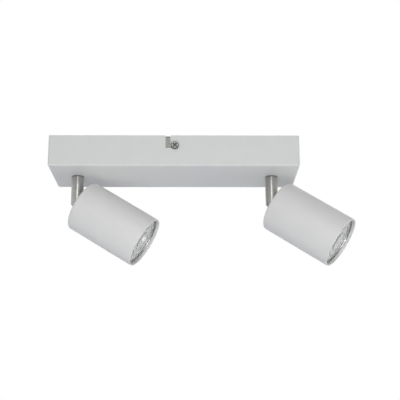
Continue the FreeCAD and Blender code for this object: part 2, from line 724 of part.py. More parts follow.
def earth_route(side, place, level):
    """From the earth pole, on one side of the block, into a ring terminal's barrel."""
    earth = pole_places()[2]
    entry = block_entry(side)
    x, y = place
    barrel_end = x - side * (RING_REACH - BARREL_LENGTH / 2)
    return [
        (entry, earth, CLAMP_LEVEL), (entry + side * EARTH_RUN, earth, CLAMP_LEVEL),
        (barrel_end - side * (EARTH_RUN + BARREL_LENGTH / 2), y, level), (barrel_end, y, level),
    ]


def leads_earth():
    """One lead to the bracket's earth screw and one to the canopy's earth stud."""
    earth = pole_places()[2]
    to_bracket = earth_route(-1, EARTH_SCREW_PLACE, BRACKET_UNDERSIDE - BARREL_RADIUS)
    to_canopy = earth_route(1, EARTH_STUD_PLACE, FLOOR + BARREL_RADIUS)
    return group([
        canopy_lead("earth to bracket", to_bracket, -1, earth),
        canopy_lead("earth to canopy", to_canopy, 1, earth),
    ])


# Stem and its stack, in the stem's own frame

def stem():
    """The turned stem: a spigot through the canopy, a bored body and a fork, milled round about the pivot."""
    fork_top = PIVOT_LEVEL + TONGUE_RADIUS + STOP_CLEARANCE
    body = cylinder(STEM_RADIUS, PIVOT_LEVEL, SHOULDER_LEVEL)
    fork_end = cylinder_y(STEM_RADIUS, -STEM_DIAMETER, STEM_DIAMETER, 0, PIVOT_LEVEL).common(
        cylinder(STEM_RADIUS, PIVOT_LEVEL - STEM_DIAMETER, PIVOT_LEVEL)
    )
    spigot = cylinder(SPIGOT_RADIUS, SHOULDER_LEVEL, SPIGOT_TOP)
    spigot = spigot.makeChamfer(SPIGOT_TOP_CHAMFER, edges_at_level(spigot, SPIGOT_TOP))
    flat_face = SPIGOT_FLAT - SPIGOT_RADIUS
    flat = block((-STEM_DIAMETER, -STEM_DIAMETER, STOP_WASHER_LEVEL), (flat_face, STEM_DIAMETER, BUSH_TOP))
    slot = block(
        (-STEM_DIAMETER, -FORK_HALF_GAP, PIVOT_LEVEL - STEM_DIAMETER),
        (STEM_DIAMETER, FORK_HALF_GAP, fork_top),
    )
    bore = cylinder(STEM_BORE_RADIUS, PIVOT_LEVEL, BUSH_TOP)
    pivot_hole = cylinder_y(M3_RADIUS + THREAD_CLEARANCE, -STEM_DIAMETER, STEM_DIAMETER, 0, PIVOT_LEVEL)
    head_room = PIVOT_HEAD_RADIUS + THREAD_CLEARANCE
    head_recess = cylinder_y(head_room, -STEM_DIAMETER, PIVOT_HEAD_DEPTH - STEM_RADIUS, 0, PIVOT_LEVEL)
    nut_room = PIVOT_NUT_ACROSS / 2 / math.cos(math.pi / HEX_SIDES) + PIVOT_RECESS_CLEARANCE
    nut_recess = cylinder_y(nut_room, STEM_RADIUS - PIVOT_NUT_SUNK, STEM_DIAMETER, 0, PIVOT_LEVEL)
    cutters = [flat, slot, bore, pivot_hole, head_recess, nut_recess]
    return body.fuse([fork_end, spigot]).removeSplitter().cut(cutters)


def swivel_washer():
    high = SHOULDER_LEVEL + SWIVEL_WASHER_HEIGHT
    return ring(STEM_RADIUS, SPIGOT_RADIUS + THREAD_CLEARANCE, SHOULDER_LEVEL, high)


def stop_washer():
    """Keyed to the spigot's flat; its tab meets the pin on the canopy's floor at either end of the turn."""
    low, high = STOP_WASHER_LEVEL, STOP_WASHER_LEVEL + STOP_WASHER_HEIGHT
    disc = cylinder(STOP_WASHER_RADIUS, low, high)
    tab = block((0, -STOP_TAB_WIDTH / 2, low), (STOP_TAB_REACH, STOP_TAB_WIDTH / 2, high))
    hole = cylinder(SPIGOT_RADIUS + THREAD_CLEARANCE, low - OVERRUN, high + OVERRUN)
    flat_face = SPIGOT_FLAT - SPIGOT_RADIUS - THREAD_CLEARANCE
    flat = block(
        (-STEM_DIAMETER, -STEM_DIAMETER, low - OVERRUN), (flat_face, STEM_DIAMETER, high + OVERRUN)
    )
    return disc.fuse(tab).removeSplitter().cut(hole.cut(flat))


def spring_washer():
    """A conical disc spring: its outer edge on the stop washer, its inner edge under the nut."""
    low, high = SPRING_WASHER_LEVEL, SPRING_WASHER_LEVEL + SPRING_WASHER_HEIGHT
    inner = SPIGOT_RADIUS + SEAT_GAP
    return turned_profile([
        (SPRING_WASHER_RADIUS, low), (SPRING_WASHER_RADIUS, low + SPRING_WASHER_SHEET), (inner, high),
        (inner, high - SPRING_WASHER_SHEET),
    ])


def swivel_nut():
    low, high = SWIVEL_NUT_LEVEL, SWIVEL_NUT_LEVEL + SWIVEL_NUT_HEIGHT
    return nut(SWIVEL_NUT_ACROSS, SPIGOT_RADIUS + THREAD_CLEARANCE, low, high, NUT_CHAMFER)


def bore_bush():
    """A flanged plastic sleeve that keeps the leads off the spigot's edge."""
    outer = STEM_BORE_RADIUS - BUSH_CLEARANCE
    sleeve = cylinder(outer, SPIGOT_TOP - BUSH_LENGTH, SPIGOT_TOP)
    flange = cylinder(SPIGOT_RADIUS - SPIGOT_FLAT, SPIGOT_TOP, BUSH_TOP)
    bore = cylinder(outer - BUSH_WALL, SPIGOT_TOP - BUSH_LENGTH - OVERRUN, BUSH_TOP + OVERRUN)
    return sleeve.fuse(flange).cut(bore)


def stem_leads():
    """Two sleeved leads in the bore, from the fork up to the bush."""
    low = PIVOT_LEVEL + TONGUE_RADIUS + STOP_CLEARANCE + SEAT_GAP
    return group([cylinder(SLEEVE_RADIUS, low, BUSH_TOP, side * STEM_LEAD_PLACE) for side in (-1, 1)])


def pivot_screw():
    """A press-in screw: its head sits in the fork's front ear, ground flush with the round stem."""
    seat = PIVOT_HEAD_DEPTH - STEM_RADIUS
    tip = STEM_RADIUS - PIVOT_NUT_SUNK + PIVOT_NUT_HEIGHT
    head = cylinder_y(PIVOT_HEAD_RADIUS, -STEM_DIAMETER, seat, 0, PIVOT_LEVEL)
    skin = cylinder(STEM_RADIUS, PIVOT_LEVEL - STEM_DIAMETER, PIVOT_LEVEL + STEM_DIAMETER)
    return head.common(skin).fuse(cylinder_y(M3_RADIUS, seat, tip, 0, PIVOT_LEVEL))


def pivot_nut():
    shape = nut(PIVOT_NUT_ACROSS, M3_RADIUS + THREAD_CLEARANCE, 0, PIVOT_NUT_HEIGHT, NUT_CHAMFER / 2)
    return moved(turned(shape, X_AXIS, -QUARTER_TURN), 0, STEM_RADIUS - PIVOT_NUT_SUNK, PIVOT_LEVEL)


def fork_washers():
    """The two friction washers between the fork's ears and the head's bracket."""
    washer = ring(FORK_WASHER_RADIUS, M3_RADIUS + THREAD_CLEARANCE, 0, FORK_WASHER_HEIGHT)
    upright = turned(washer, X_AXIS, -QUARTER_TURN)
    return group([
        moved(upright, 0, -FORK_HALF_GAP, PIVOT_LEVEL),
        moved(upright, 0, FORK_HALF_GAP - FORK_WASHER_HEIGHT, PIVOT_LEVEL),
    ])


# Head, in its own frame

def head_shell():
    """A tube with a closed, rounded back, slotted for the folded bracket."""
    outside = cylinder(HEAD_RADIUS, CAP_BACK, RIM)
    outside = outside.makeFillet(HEAD_EDGE_RADIUS, edges_at_level(outside, CAP_BACK))
    inside = cylinder(HEAD_BORE_RADIUS, CAP_INSIDE, RIM + OVERRUN)
    inside = inside.makeFillet(HEAD_EDGE_RADIUS - HEAD_WALL, edges_at_level(inside, CAP_INSIDE))
    shell = outside.cut(inside)
    shell = shell.makeFillet(HEAD_RIM_RADIUS, edges_at_level(shell, RIM))
    low, high = CAP_BACK - OVERRUN, CAP_INSIDE + OVERRUN
    half_height = TONGUE_RADIUS + SLOT_CLEARANCE
    half_width = TONGUE_HALF_WIDTH + SLOT_CLEARANCE
    cutters = [block((-half_height, -half_width, low), (half_height, half_width, high))]
    for side in (-1, 1):
        cutters.append(cylinder(RIVET_RADIUS + THREAD_CLEARANCE, low, high, side * RIVET_PLACE))
        cutters.append(rivet_cone(THREAD_CLEARANCE, side))
    return shell.cut(cutters)


def rivet_cone(clearance, side):
    """The countersunk head of a rivet, flush with the cap."""
    return Part.makeCone(
        RIVET_HEAD_RADIUS + clearance, RIVET_RADIUS + clearance, RIVET_HEAD_DEPTH,
        vector(side * RIVET_PLACE, 0, CAP_BACK),
    )


def hinge_bracket():
    """A folded bracket: two cheeks round the pivot, through the cap's slot, and a web with wings inside."""
    long_side = 2 * HEAD_LENGTH
    outside = block(
        (-TONGUE_RADIUS, -TONGUE_HALF_WIDTH, 0), (TONGUE_RADIUS, TONGUE_HALF_WIDTH, WEB_FRONT)
    )
    folds = [edge for edge in edges_at_level(outside, WEB_FRONT) if edge.BoundBox.XLength > TONGUE_RADIUS]
    outside = outside.makeFillet(CHEEK_SHEET * HEAD_ROUND_SHARE, folds)
    outside = outside.fuse(cylinder_y(TONGUE_RADIUS, -TONGUE_HALF_WIDTH, TONGUE_HALF_WIDTH)).removeSplitter()
    inside = block((-long_side, -CHEEK_GAP / 2, -long_side), (long_side, CHEEK_GAP / 2, CAP_INSIDE))
    bracket = outside.cut(inside)
    for side in (-1, 1):
        near, far = sorted((side * TONGUE_RADIUS, side * WING_REACH))
        bracket = bracket.fuse(block((near, -WING_WIDTH / 2, CAP_INSIDE), (far, WING_WIDTH / 2, WEB_FRONT)))
    bracket = bracket.removeSplitter()
    low, high = CAP_INSIDE - CHEEK_SHEET, WEB_FRONT + OVERRUN
    cutters = [
        block((-WINDOW_HALF_LENGTH, -CHEEK_GAP / 2, low), (WINDOW_HALF_LENGTH, CHEEK_GAP / 2, high)),
        cylinder_y(M3_RADIUS + RUNNING_CLEARANCE, -STEM_DIAMETER, STEM_DIAMETER),
    ]
    for side in (-1, 1):
        cutters.append(cylinder(RIVET_RADIUS + THREAD_CLEARANCE, low, high, side * RIVET_PLACE))
    return bracket.cut(cutters)


def pivot_spacer():
    """The sleeve on the pivot screw that keeps the two cheeks apart."""
    sleeve = ring(SPACER_RADIUS, M3_RADIUS + RUNNING_CLEARANCE, -CHEEK_GAP / 2, CHEEK_GAP / 2)
    return turned(sleeve, X_AXIS, QUARTER_TURN)


def bracket_rivets():
    """Two flush rivets through the cap, the bracket's wings and the strap's feet."""
    rivets = []
    for side in (-1, 1):
        shank = cylinder(RIVET_RADIUS, CAP_BACK, FOOT_FRONT, side * RIVET_PLACE)
        tail = cylinder(RIVET_TAIL_RADIUS, FOOT_FRONT, FOOT_FRONT + RIVET_TAIL_HEIGHT, side * RIVET_PLACE)
        rivets.append(shank.fuse([tail, rivet_cone(0, side)]).removeSplitter())
    return group(rivets)


def holder_strap():
    """A hat-shaped strap: its feet on the bracket's wings, its crown behind the lampholder."""
    inner = STRAP_HALF_SPAN - STRAP_SHEET
    crown = HOLDER_BACK - STRAP_SHEET
    half = [
        (WING_REACH, WEB_FRONT), (WING_REACH, FOOT_FRONT), (STRAP_HALF_SPAN, FOOT_FRONT),
        (STRAP_HALF_SPAN, HOLDER_BACK),
    ]
    under = [(inner, crown), (inner, WEB_FRONT)]
    outline = half + [(-x, z) for x, z in reversed(half)]
    outline += [(-x, z) for x, z in reversed(under)] + under
    wire = Part.makePolygon([vector(x, -STRAP_WIDTH / 2, z) for x, z in outline + outline[:1]])
    strap = Part.Face(wire).extrude(vector(0, STRAP_WIDTH, 0))
    rivet_hole = RIVET_RADIUS + THREAD_CLEARANCE
    tap = M3_RADIUS + THREAD_CLEARANCE
    cutters = []
    for side in (-1, 1):
        cutters.append(cylinder(rivet_hole, CAP_BACK, FOOT_FRONT + OVERRUN, side * RIVET_PLACE))
        cutters.append(cylinder(tap, crown - OVERRUN, HOLDER_BACK + OVERRUN, side * HOLDER_SCREW_PLACE))
    return strap.cut(cutters)


def holder_screw_seat():
    """The level of the holder screws' heads."""
    return HOLDER_BACK + HOLDER_SCREW_LENGTH - 2 * STRAP_SHEET


def lampholder():
    """A ceramic lampholder with two pin holes, two screw wells and two lead holes in its back."""
    body = cylinder(HOLDER_RADIUS, HOLDER_BACK, HOLDER_FRONT)
    body = body.common(
        block((-HOLDER_FLAT, -HOLDER_RADIUS, HOLDER_BACK), (HOLDER_FLAT, HOLDER_RADIUS, HOLDER_FRONT))
    )
    body = body.makeFillet(HOLDER_EDGE, edges_at_level(body, HOLDER_FRONT))
    below, above = HOLDER_BACK - OVERRUN, HOLDER_FRONT + OVERRUN
    pin_floor = HOLDER_FRONT - HOLDER_PIN_HOLE_DEPTH
    lead_floor = HOLDER_BACK + HOLDER_LEAD_DEPTH
    lead_hole = SLEEVE_RADIUS + CLAMP_CLEARANCE
    cutters = []
    for side in (-1, 1):
        screw = side * HOLDER_SCREW_PLACE
        cutters.append(cylinder(HOLDER_PIN_HOLE_RADIUS, pin_floor, above, 0, side * PIN_SPACING / 2))
        cutters.append(cylinder(M3_RADIUS + CLAMP_CLEARANCE, below, HOLDER_FRONT, screw))
        cutters.append(cylinder(HOLDER_SCREW_WELL_RADIUS, holder_screw_seat(), above, screw))
        cutters.append(cylinder(lead_hole, below, lead_floor, 0, side * HOLDER_LEAD_PLACE))
    return body.cut(cutters)


def holder_screws():
    screw = pan_screw(M3_RADIUS, HOLDER_SCREW_LENGTH, M3_HEAD_RADIUS, M3_HEAD_HEIGHT)
    screw = turned(screw, X_AXIS, HALF_TURN)
    return group([moved(screw, side * HOLDER_SCREW_PLACE, 0, holder_screw_seat()) for side in (-1, 1)])


def head_leads():
    """Two sleeved leads from between the cheeks, out past the strap, into the holder's back."""
    leads = []
    for side in (-1, 1):
        low_run = WEB_FRONT + HEAD_LEAD_RISE
        high_run = HOLDER_BACK - HEAD_LEAD_RUN + HOLDER_LEAD_DEPTH - SEAT_GAP
        route = [
            (side * HEAD_LEAD_PLACE, 0, HEAD_LEAD_START), (side * HEAD_LEAD_PLACE, 0, low_run),
            (0, side * HOLDER_LEAD_PLACE, high_run),
            (0, side * HOLDER_LEAD_PLACE, HOLDER_BACK + HOLDER_LEAD_DEPTH - SEAT_GAP),
        ]
        leads.append(lead("head", route, SLEEVE_RADIUS))
    return group(leads)


# Lamp, in the head's own frame

def lamp_base():
    """The moulded base: an oblong block with a round skirt that takes the reflector's neck."""
    low, middle = LAMP_BACK, LAMP_BACK + LAMP_BASE_BLOCK_HEIGHT
    body = block(
        (-LAMP_BASE_WIDTH / 2, -LAMP_BASE_LENGTH / 2, low),
        (LAMP_BASE_WIDTH / 2, LAMP_BASE_LENGTH / 2, middle),
    )
    body = body.makeFillet(LAMP_BASE_CORNER, upright_edges(body))
    skirt = Part.makeCone(LAMP_SKIRT_RADIUS, LAMP_SKIRT_TOP_RADIUS, LAMP_SKIRT_HEIGHT, vector(0, 0, middle))
    socket = cylinder(LAMP_NECK_RADIUS + SEAT_GAP, SOCKET_FLOOR, SKIRT_TOP + OVERRUN)
    cutters = [socket]
    pin_hole = PIN_RADIUS + THREAD_CLEARANCE
    for side in (-1, 1):
        cutters.append(cylinder(pin_hole, low - OVERRUN, middle, 0, side * PIN_SPACING / 2))
    return body.fuse(skirt).cut(cutters)


def lamp_pins():
    """The two contact pins, headed so that they lock in the holder when turned."""
    low = LAMP_BACK - PIN_LENGTH
    pins = []
    for side in (-1, 1):
        place = side * PIN_SPACING / 2
        shank = cylinder(PIN_RADIUS, low, LAMP_BACK + LAMP_BASE_BLOCK_HEIGHT - SEAT_GAP, 0, place)
        pins.append(shank.fuse(cylinder(PIN_HEAD_RADIUS, low, low + PIN_HEAD_HEIGHT, 0, place)))
    return group(pins)


def reflector_level(radius):
    """The level at which the reflector's parabola has a given radius."""
    vertex = SKIRT_TOP + SEAT_GAP
    depth = GLASS_BACK - vertex
    return vertex + depth * (radius / LAMP_FACET_RIM_RADIUS) ** 2


def facet_radii():
    """Radii of the facet rings' edges, evenly spaced from the throat to the rim."""
    step = (LAMP_FACET_RIM_RADIUS - LAMP_FACET_THROAT_RADIUS) / LAMP_FACET_RINGS
    return [LAMP_FACET_THROAT_RADIUS + step * index for index in range(LAMP_FACET_RINGS + 1)]


def facet_outline(radius, level):
    angles = [2 * math.pi * index / LAMP_FACETS_ROUND for index in range(LAMP_FACETS_ROUND + 1)]
    return Part.makePolygon([vector(radius * math.cos(a), radius * math.sin(a), level) for a in angles])


def lamp_reflector():
    """A parabolic bowl with rings of flat facets inside, on a plain neck."""
    neck_low = SOCKET_FLOOR + SEAT_GAP
    radii = facet_radii()
    rim_low = GLASS_BACK - LAMP_RIM_HEIGHT
    outside = [(0, neck_low), (LAMP_NECK_RADIUS, neck_low)]
    outside.append((LAMP_NECK_RADIUS, reflector_level(LAMP_NECK_RADIUS - LAMP_WALL)))
    for radius in radii[1:-1]:
        outside.append((radius + LAMP_WALL, reflector_level(radius)))
    rim_radius = LAMP_RADIUS - LAMP_RIM_STEP
    outside += [(rim_radius, rim_low), (rim_radius, GLASS_BACK), (0, GLASS_BACK)]
    bowl = turned_profile(outside)
    outlines = [facet_outline(radius, reflector_level(radius)) for radius in radii]
    outlines.append(facet_outline(radii[-1], GLASS_BACK + OVERRUN))
    hollow = Part.makeLoft(outlines, True, True)
    throat = cylinder(LAMP_NECK_BORE_RADIUS, neck_low - OVERRUN, reflector_level(radii[1]))
    return bowl.cut([hollow, throat])


def lamp_glass():
    disc = cylinder(LAMP_RADIUS, GLASS_BACK, GLASS_FRONT)
    return disc.makeFillet(LAMP_GLASS_EDGE, edges_at_level(disc, GLASS_FRONT))


def lamp_burner():
    """The capsule on the reflector's axis, with a domed end."""
    low = SOCKET_FLOOR + THREAD_CLEARANCE
    body = cylinder(BURNER_RADIUS, low, low + BURNER_LENGTH)
    return body.fuse(Part.makeSphere(BURNER_RADIUS, vector(0, 0, low + BURNER_LENGTH))).removeSplitter()


# Placing and writing the parts

FIXED_PARTS = {
    "canopy": canopy,
    "canopy_studs": canopy_studs,
    "canopy_earth_nut": canopy_earth_nut,
    "canopy_screws": canopy_screws,
    "mounting_bracket": mounting_bracket,
    "terminal_block": terminal_block,
    "terminal_clamps": terminal_clamps,
    "terminal_screws": terminal_screws,
    "bracket_screws": bracket_screws,
    "ring_terminals": ring_terminals,
    "leads_live": leads_live,
    "leads_neutral": leads_neutral,
    "leads_earth": leads_earth,
}

STEM_PARTS = {
    "stem": stem,
    "swivel_washer": swivel_washer,
    "stop_washer": stop_washer,
    "spring_washer": spring_washer,
    "swivel_nut": swivel_nut,
    "bore_bush": bore_bush,
    "stem_leads": stem_leads,
    "pivot_screw": pivot_screw,
    "pivot_nut": pivot_nut,
    "fork_washers": fork_washers,
}

HEAD_PARTS = {
    "head_shell": head_shell,
    "hinge_bracket": hinge_bracket,
    "pivot_spacer": pivot_spacer,
    "bracket_rivets": bracket_rivets,
    "holder_strap": holder_strap,
    "lampholder": lampholder,
    "holder_screws": holder_screws,
    "head_leads": head_leads,
    "lamp_base": lamp_base,
    "lamp_pins": lamp_pins,
    "lamp_reflector": lamp_reflector,
    "lamp_glass": lamp_glass,
    "lamp_burner": lamp_burner,
}


def place_stem_part(shape, data):
    """Turns a part of the stem to the rest pose and moves it to its place on the canopy."""
    return moved(turned(shape, Z_AXIS, data["turn"]), data["place"] * STEM_SPACING / 2)


def place_head_part(shape, data):
    """Tilts a part of the head to the rest pose, then places it as the stem is placed."""
    tilted = turned(shape, Y_AXIS, QUARTER_TURN + data["droop"])
    return place_stem_part(moved(tilted, 0, 0, PIVOT_LEVEL), data)


def all_parts():
    """Every part at rest, by its name."""
    parts = {name: make() for name, make in FIXED_PARTS.items()}
    stems = {name: make() for name, make in STEM_PARTS.items()}
    heads = {name: make() for name, make in HEAD_PARTS.items()}
    for side, data in SIDES.items():
        for name, shape in stems.items():
            parts[f"{name}_{side}"] = place_stem_part(shape, data)
        for name, shape in heads.items():
            parts[f"{name}_{side}"] = place_head_part(shape, data)
    return parts


def main():
    os.makedirs("parts", exist_ok=True)
    for name, shape in all_parts().items():
        if not shape.isValid():
            print("not valid:", name)
        shape.exportStep(f"parts/{name}.step")


main()
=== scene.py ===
"""Looks for a surface bar light with two swivelling spotlights.

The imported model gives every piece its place. This script dresses each piece in its real finish, and builds
finer meshes for the head shells, the reflector lamps, the canopy screws and the rivets in the heads' backs.
"""

import json
import logging
import math
from dataclasses import dataclass
from enum import Enum
from typing import Sequence

import bmesh
import bpy
from mathutils import Matrix, Vector

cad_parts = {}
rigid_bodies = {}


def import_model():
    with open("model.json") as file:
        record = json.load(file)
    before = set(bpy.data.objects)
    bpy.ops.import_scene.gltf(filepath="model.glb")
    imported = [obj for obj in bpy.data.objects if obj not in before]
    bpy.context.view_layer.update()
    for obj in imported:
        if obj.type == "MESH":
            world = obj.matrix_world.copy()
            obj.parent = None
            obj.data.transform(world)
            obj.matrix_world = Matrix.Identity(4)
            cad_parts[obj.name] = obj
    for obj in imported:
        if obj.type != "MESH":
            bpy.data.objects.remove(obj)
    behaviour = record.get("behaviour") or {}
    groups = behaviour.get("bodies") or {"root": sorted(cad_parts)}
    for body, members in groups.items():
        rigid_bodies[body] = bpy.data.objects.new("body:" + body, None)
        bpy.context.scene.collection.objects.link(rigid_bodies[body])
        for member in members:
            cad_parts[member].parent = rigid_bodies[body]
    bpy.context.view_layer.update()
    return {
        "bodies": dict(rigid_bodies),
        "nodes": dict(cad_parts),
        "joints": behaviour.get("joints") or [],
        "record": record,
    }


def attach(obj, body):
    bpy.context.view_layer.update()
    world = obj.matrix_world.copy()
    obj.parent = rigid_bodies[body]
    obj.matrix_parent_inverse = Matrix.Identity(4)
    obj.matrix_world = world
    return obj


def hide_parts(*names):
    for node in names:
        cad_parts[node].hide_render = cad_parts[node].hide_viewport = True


logging.basicConfig(level=logging.INFO, format="%(message)s")
log = logging.getLogger("bar_light")

MM = 0.001
PHOTO_PIXELS = 400
SENSOR_WIDTH = 36.0
SMOOTH_ANGLE = math.radians(32)
FACET_ANGLE = math.radians(2)
SAME_PLACE = 1e-6
SEAM_DIGITS = 5
SEAM_REACH = 2e-5
# At this scale the wave texture's diagonal bands repeat once in every metre of x + y + z
BAND_SCALE = 2 * math.pi / 10

Colour = tuple[float, float, float]
Point = tuple[float, float, float]
Pair = tuple[float, float]
Outline = list[Pair]
Material = bpy.types.Material
Mesh = bpy.types.Mesh
Node = bpy.types.Node
Piece = bpy.types.Object
Socket = bpy.types.NodeSocket
Value = float | Socket

WHITE = (1.0, 1.0, 1.0)


class Side(Enum):
    """Which of the two spots a piece belongs to."""

    LEFT = "left"
    RIGHT = "right"


@dataclass(frozen=True)
class Spot:
    """Where one spot's stem and head stand at rest.

    Attributes:
        side: Left or right spot.
        place: X place of the stem's axis, in millimetres.
        pivot_level: Z level of the tilt pivot, in millimetres.
        turn: How far the head is turned about the stem, in degrees.
        droop: How far the head hangs below level, in degrees.
    """

    side: Side
    place: float
    pivot_level: float
    turn: float
    droop: float

    def named(self, name: str) -> str:
        """The name of a node, a body or a piece on this side."""
        return f"{name}_{self.side.value}"

    def head_matrix(self, level: float = 0.0) -> Matrix:
        """From the head's own frame, starting at a level along its axis, to the bar's frame.

        Args:
            level: How far along the axis it starts from the pivot, in millimetres.

        Returns:
            The matrix, in metres.
        """
        shift = Matrix.Translation(Vector((self.place * MM, 0, 0)))
        turn = Matrix.Rotation(math.radians(self.turn), 4, "Z")
        drop = Matrix.Translation(Vector((0, 0, self.pivot_level * MM)))
        tilt = Matrix.Rotation(math.radians(90 + self.droop), 4, "Y")
        return shift @ turn @ drop @ tilt @ Matrix.Translation(Vector((0, 0, level * MM)))


SPOTS = (
    Spot(Side.LEFT, -103.3, -61.0, -6.8, 32.1),
    Spot(Side.RIGHT, 103.3, -61.0, -17.1, 34.2),
)


# Node trees


class NodeSheet:
    """A node tree under construction, with short calls to add and join its nodes."""

    def __init__(self, tree: bpy.types.NodeTree) -> None:
        """Takes the tree that is built up."""
        self.tree = tree

    def feed(self, node: Node, key: str | int, value: object) -> None:
        """Links a socket to a node's input, or sets the input to a value.

        Args:
            node: The node.
            key: The input's name or position.
            value: A socket or a value.
        """
        if isinstance(value, Socket):
            self.tree.links.new(value, node.inputs[key])
        else:
            node.inputs[key].default_value = value

    def add(self, kind: str, inputs: dict[str | int, object] | None = None, **values: object) -> Node:
        """Adds a node.

        Args:
            kind: Blender's name for the node type.
            inputs: Values or sockets for its inputs, by name or position.
            **values: Properties to set on the node.

        Returns:
            The new node.
        """
        node = self.tree.nodes.new(kind)
        for key, value in values.items():
            setattr(node, key, value)
        for key, value in (inputs or {}).items():
            self.feed(node, key, value)
        return node

    def step(self, operation: str, first: Value, second: Value = 0.0) -> Socket:
        """One step of arithmetic on numbers or sockets."""
        return self.add("ShaderNodeMath", {0: first, 1: second}, operation=operation).outputs[0]

    def blend(self, share: Socket, first: Colour | Socket, second: Colour | Socket) -> Socket:
        """Mixes two colours by a share.

        Args:
            share: How much of the second one there is.
            first: A colour or a socket.
            second: A colour or a socket.

        Returns:
            The mixed colour's socket.
        """
        ends = [end if isinstance(end, Socket) else (*end, 1) for end in (first, second)]
        inputs = {"Factor": share, 6: ends[0], 7: ends[1]}
        return self.add("ShaderNodeMix", inputs, data_type="RGBA").outputs[2]


class MaterialSheet(NodeSheet):
    """A material under construction, with patterns that read the piece's own coordinates."""

    def __init__(self, name: str) -> None:
        """Starts an empty material.

        Args:
            name: The finish's name.
        """
        self.material = bpy.data.materials.new(name)
        self.material.use_nodes = True
        super().__init__(self.material.node_tree)
        self.shader = self.tree.nodes["Principled BSDF"]
        self.position = self.add("ShaderNodeTexCoord").outputs["Object"]

    def set(self, **values: object) -> None:
        """Feeds the shader's own sockets, with underscores in place of spaces in their names."""
        for key, value in values.items():
            self.feed(self.shader, key.replace("_", " "), value)

    def stretched(self, stretch: Point) -> Socket:
        """The position, scaled along each axis, so that a pattern runs along one of them."""
        return self.add("ShaderNodeMapping", {"Vector": self.position, "Scale": stretch}).outputs["Vector"]

    def noise(
        self, size_mm: float, detail: float = 3.0, vector: Socket | None = None, rough: float = 0.5
    ) -> Socket:
        """A noise pattern.

        Args:
            size_mm: Size of one blotch, in millimetres.
            detail: How many finer layers it has.
            vector: Where it is read, or None for the object's own position.
            rough: How strong the finer layers are.

        Returns:
            The pattern's value socket.
        """
        sizes = {"Scale": 1 / (size_mm * MM), "Detail": detail, "Roughness": rough}
        return self.add("ShaderNodeTexNoise", {"Vector": vector or self.position, **sizes}).outputs["Fac"]

    def spread(self, value: Socket, low: float, high: float, start: float = 0.3, end: float = 0.7) -> Socket:
        """Maps a pattern to another range, and cuts off what lies outside.

        Args:
            value: The pattern.
            low: What its start becomes.
            high: What its end becomes.
            start: Where the pattern's range starts; noise is mostly above 0.3.
            end: Where it ends; noise is mostly below 0.7.

        Returns:
            The new value's socket.
        """
        limits = {"From Min": start, "From Max": end, "To Min": low, "To Max": high}
        return self.add("ShaderNodeMapRange", {"Value": value, **limits}).outputs["Result"]

    def tinted(self, share: Socket, colour: Colour, darker: float, lighter: float) -> None:
        """Paints the base in one colour that a pattern makes darker and lighter by these shares."""
        self.set(Base_Color=self.blend(share, shade(colour, -darker), shade(colour, lighter)))

    def dulled(self, pattern: Socket, roughness: float, shares: Pair = (0.85, 1.15)) -> None:
        """Lets a pattern vary the roughness between two shares of it."""
        self.set(Roughness=self.spread(pattern, roughness * shares[0], roughness * shares[1]))

    def bump(self, value: Socket, height_mm: float) -> None:
        """Raises the surface by a pattern, on top of any earlier bump.

        Args:
            value: The pattern.
            height_mm: How high it stands, in millimetres.
        """
        inputs = {"Strength": 1.0, "Distance": height_mm * MM, "Height": value}
        earlier = self.shader.inputs["Normal"]
        if earlier.is_linked:
            inputs["Normal"] = earlier.links[0].from_socket
        self.set(Normal=self.add("ShaderNodeBump", inputs).outputs["Normal"])


def shade(colour: Colour, share: float) -> Colour:
    """The colour, lightened or darkened by a share."""
    return tuple(min(1.0, channel * (1 + share)) for channel in colour)


# Finishes


@dataclass(frozen=True)
class PowderCoat:
    """White powder coat: a fine orange peel over a faintly speckled colour."""

    name: str
    colour: Colour
    roughness: float = 0.42
    contrast: float = 0.022
    cloud_share: float = 0.45
    speck_mm: float = 0.5
    cloud_mm: float = 14.0
    peel_mm: float = 1.3
    peel_height_mm: float = 0.011
    grain_mm: float = 0.32
    grain_share: float = 0.2

    def make(self) -> Material:
        """Builds the material.

        Returns:
            The material.
        """
        sheet = MaterialSheet(self.name)
        sheet.set(Roughness=self.roughness, Specular_IOR_Level=0.35)
        speck = sheet.spread(sheet.noise(self.speck_mm, 2.0), 0, 1)
        cloud = sheet.spread(sheet.noise(self.cloud_mm, 2.0), 0, 1)
        inputs = {"Factor": self.cloud_share, 2: speck, 3: cloud}
        mixed = sheet.add("ShaderNodeMix", inputs, data_type="FLOAT").outputs[0]
        sheet.tinted(mixed, self.colour, self.contrast, self.contrast)
        sheet.bump(sheet.noise(self.peel_mm, 2.0), self.peel_height_mm)
        sheet.bump(sheet.noise(self.grain_mm, 1.0), self.peel_height_mm * self.grain_share)
        return sheet.material


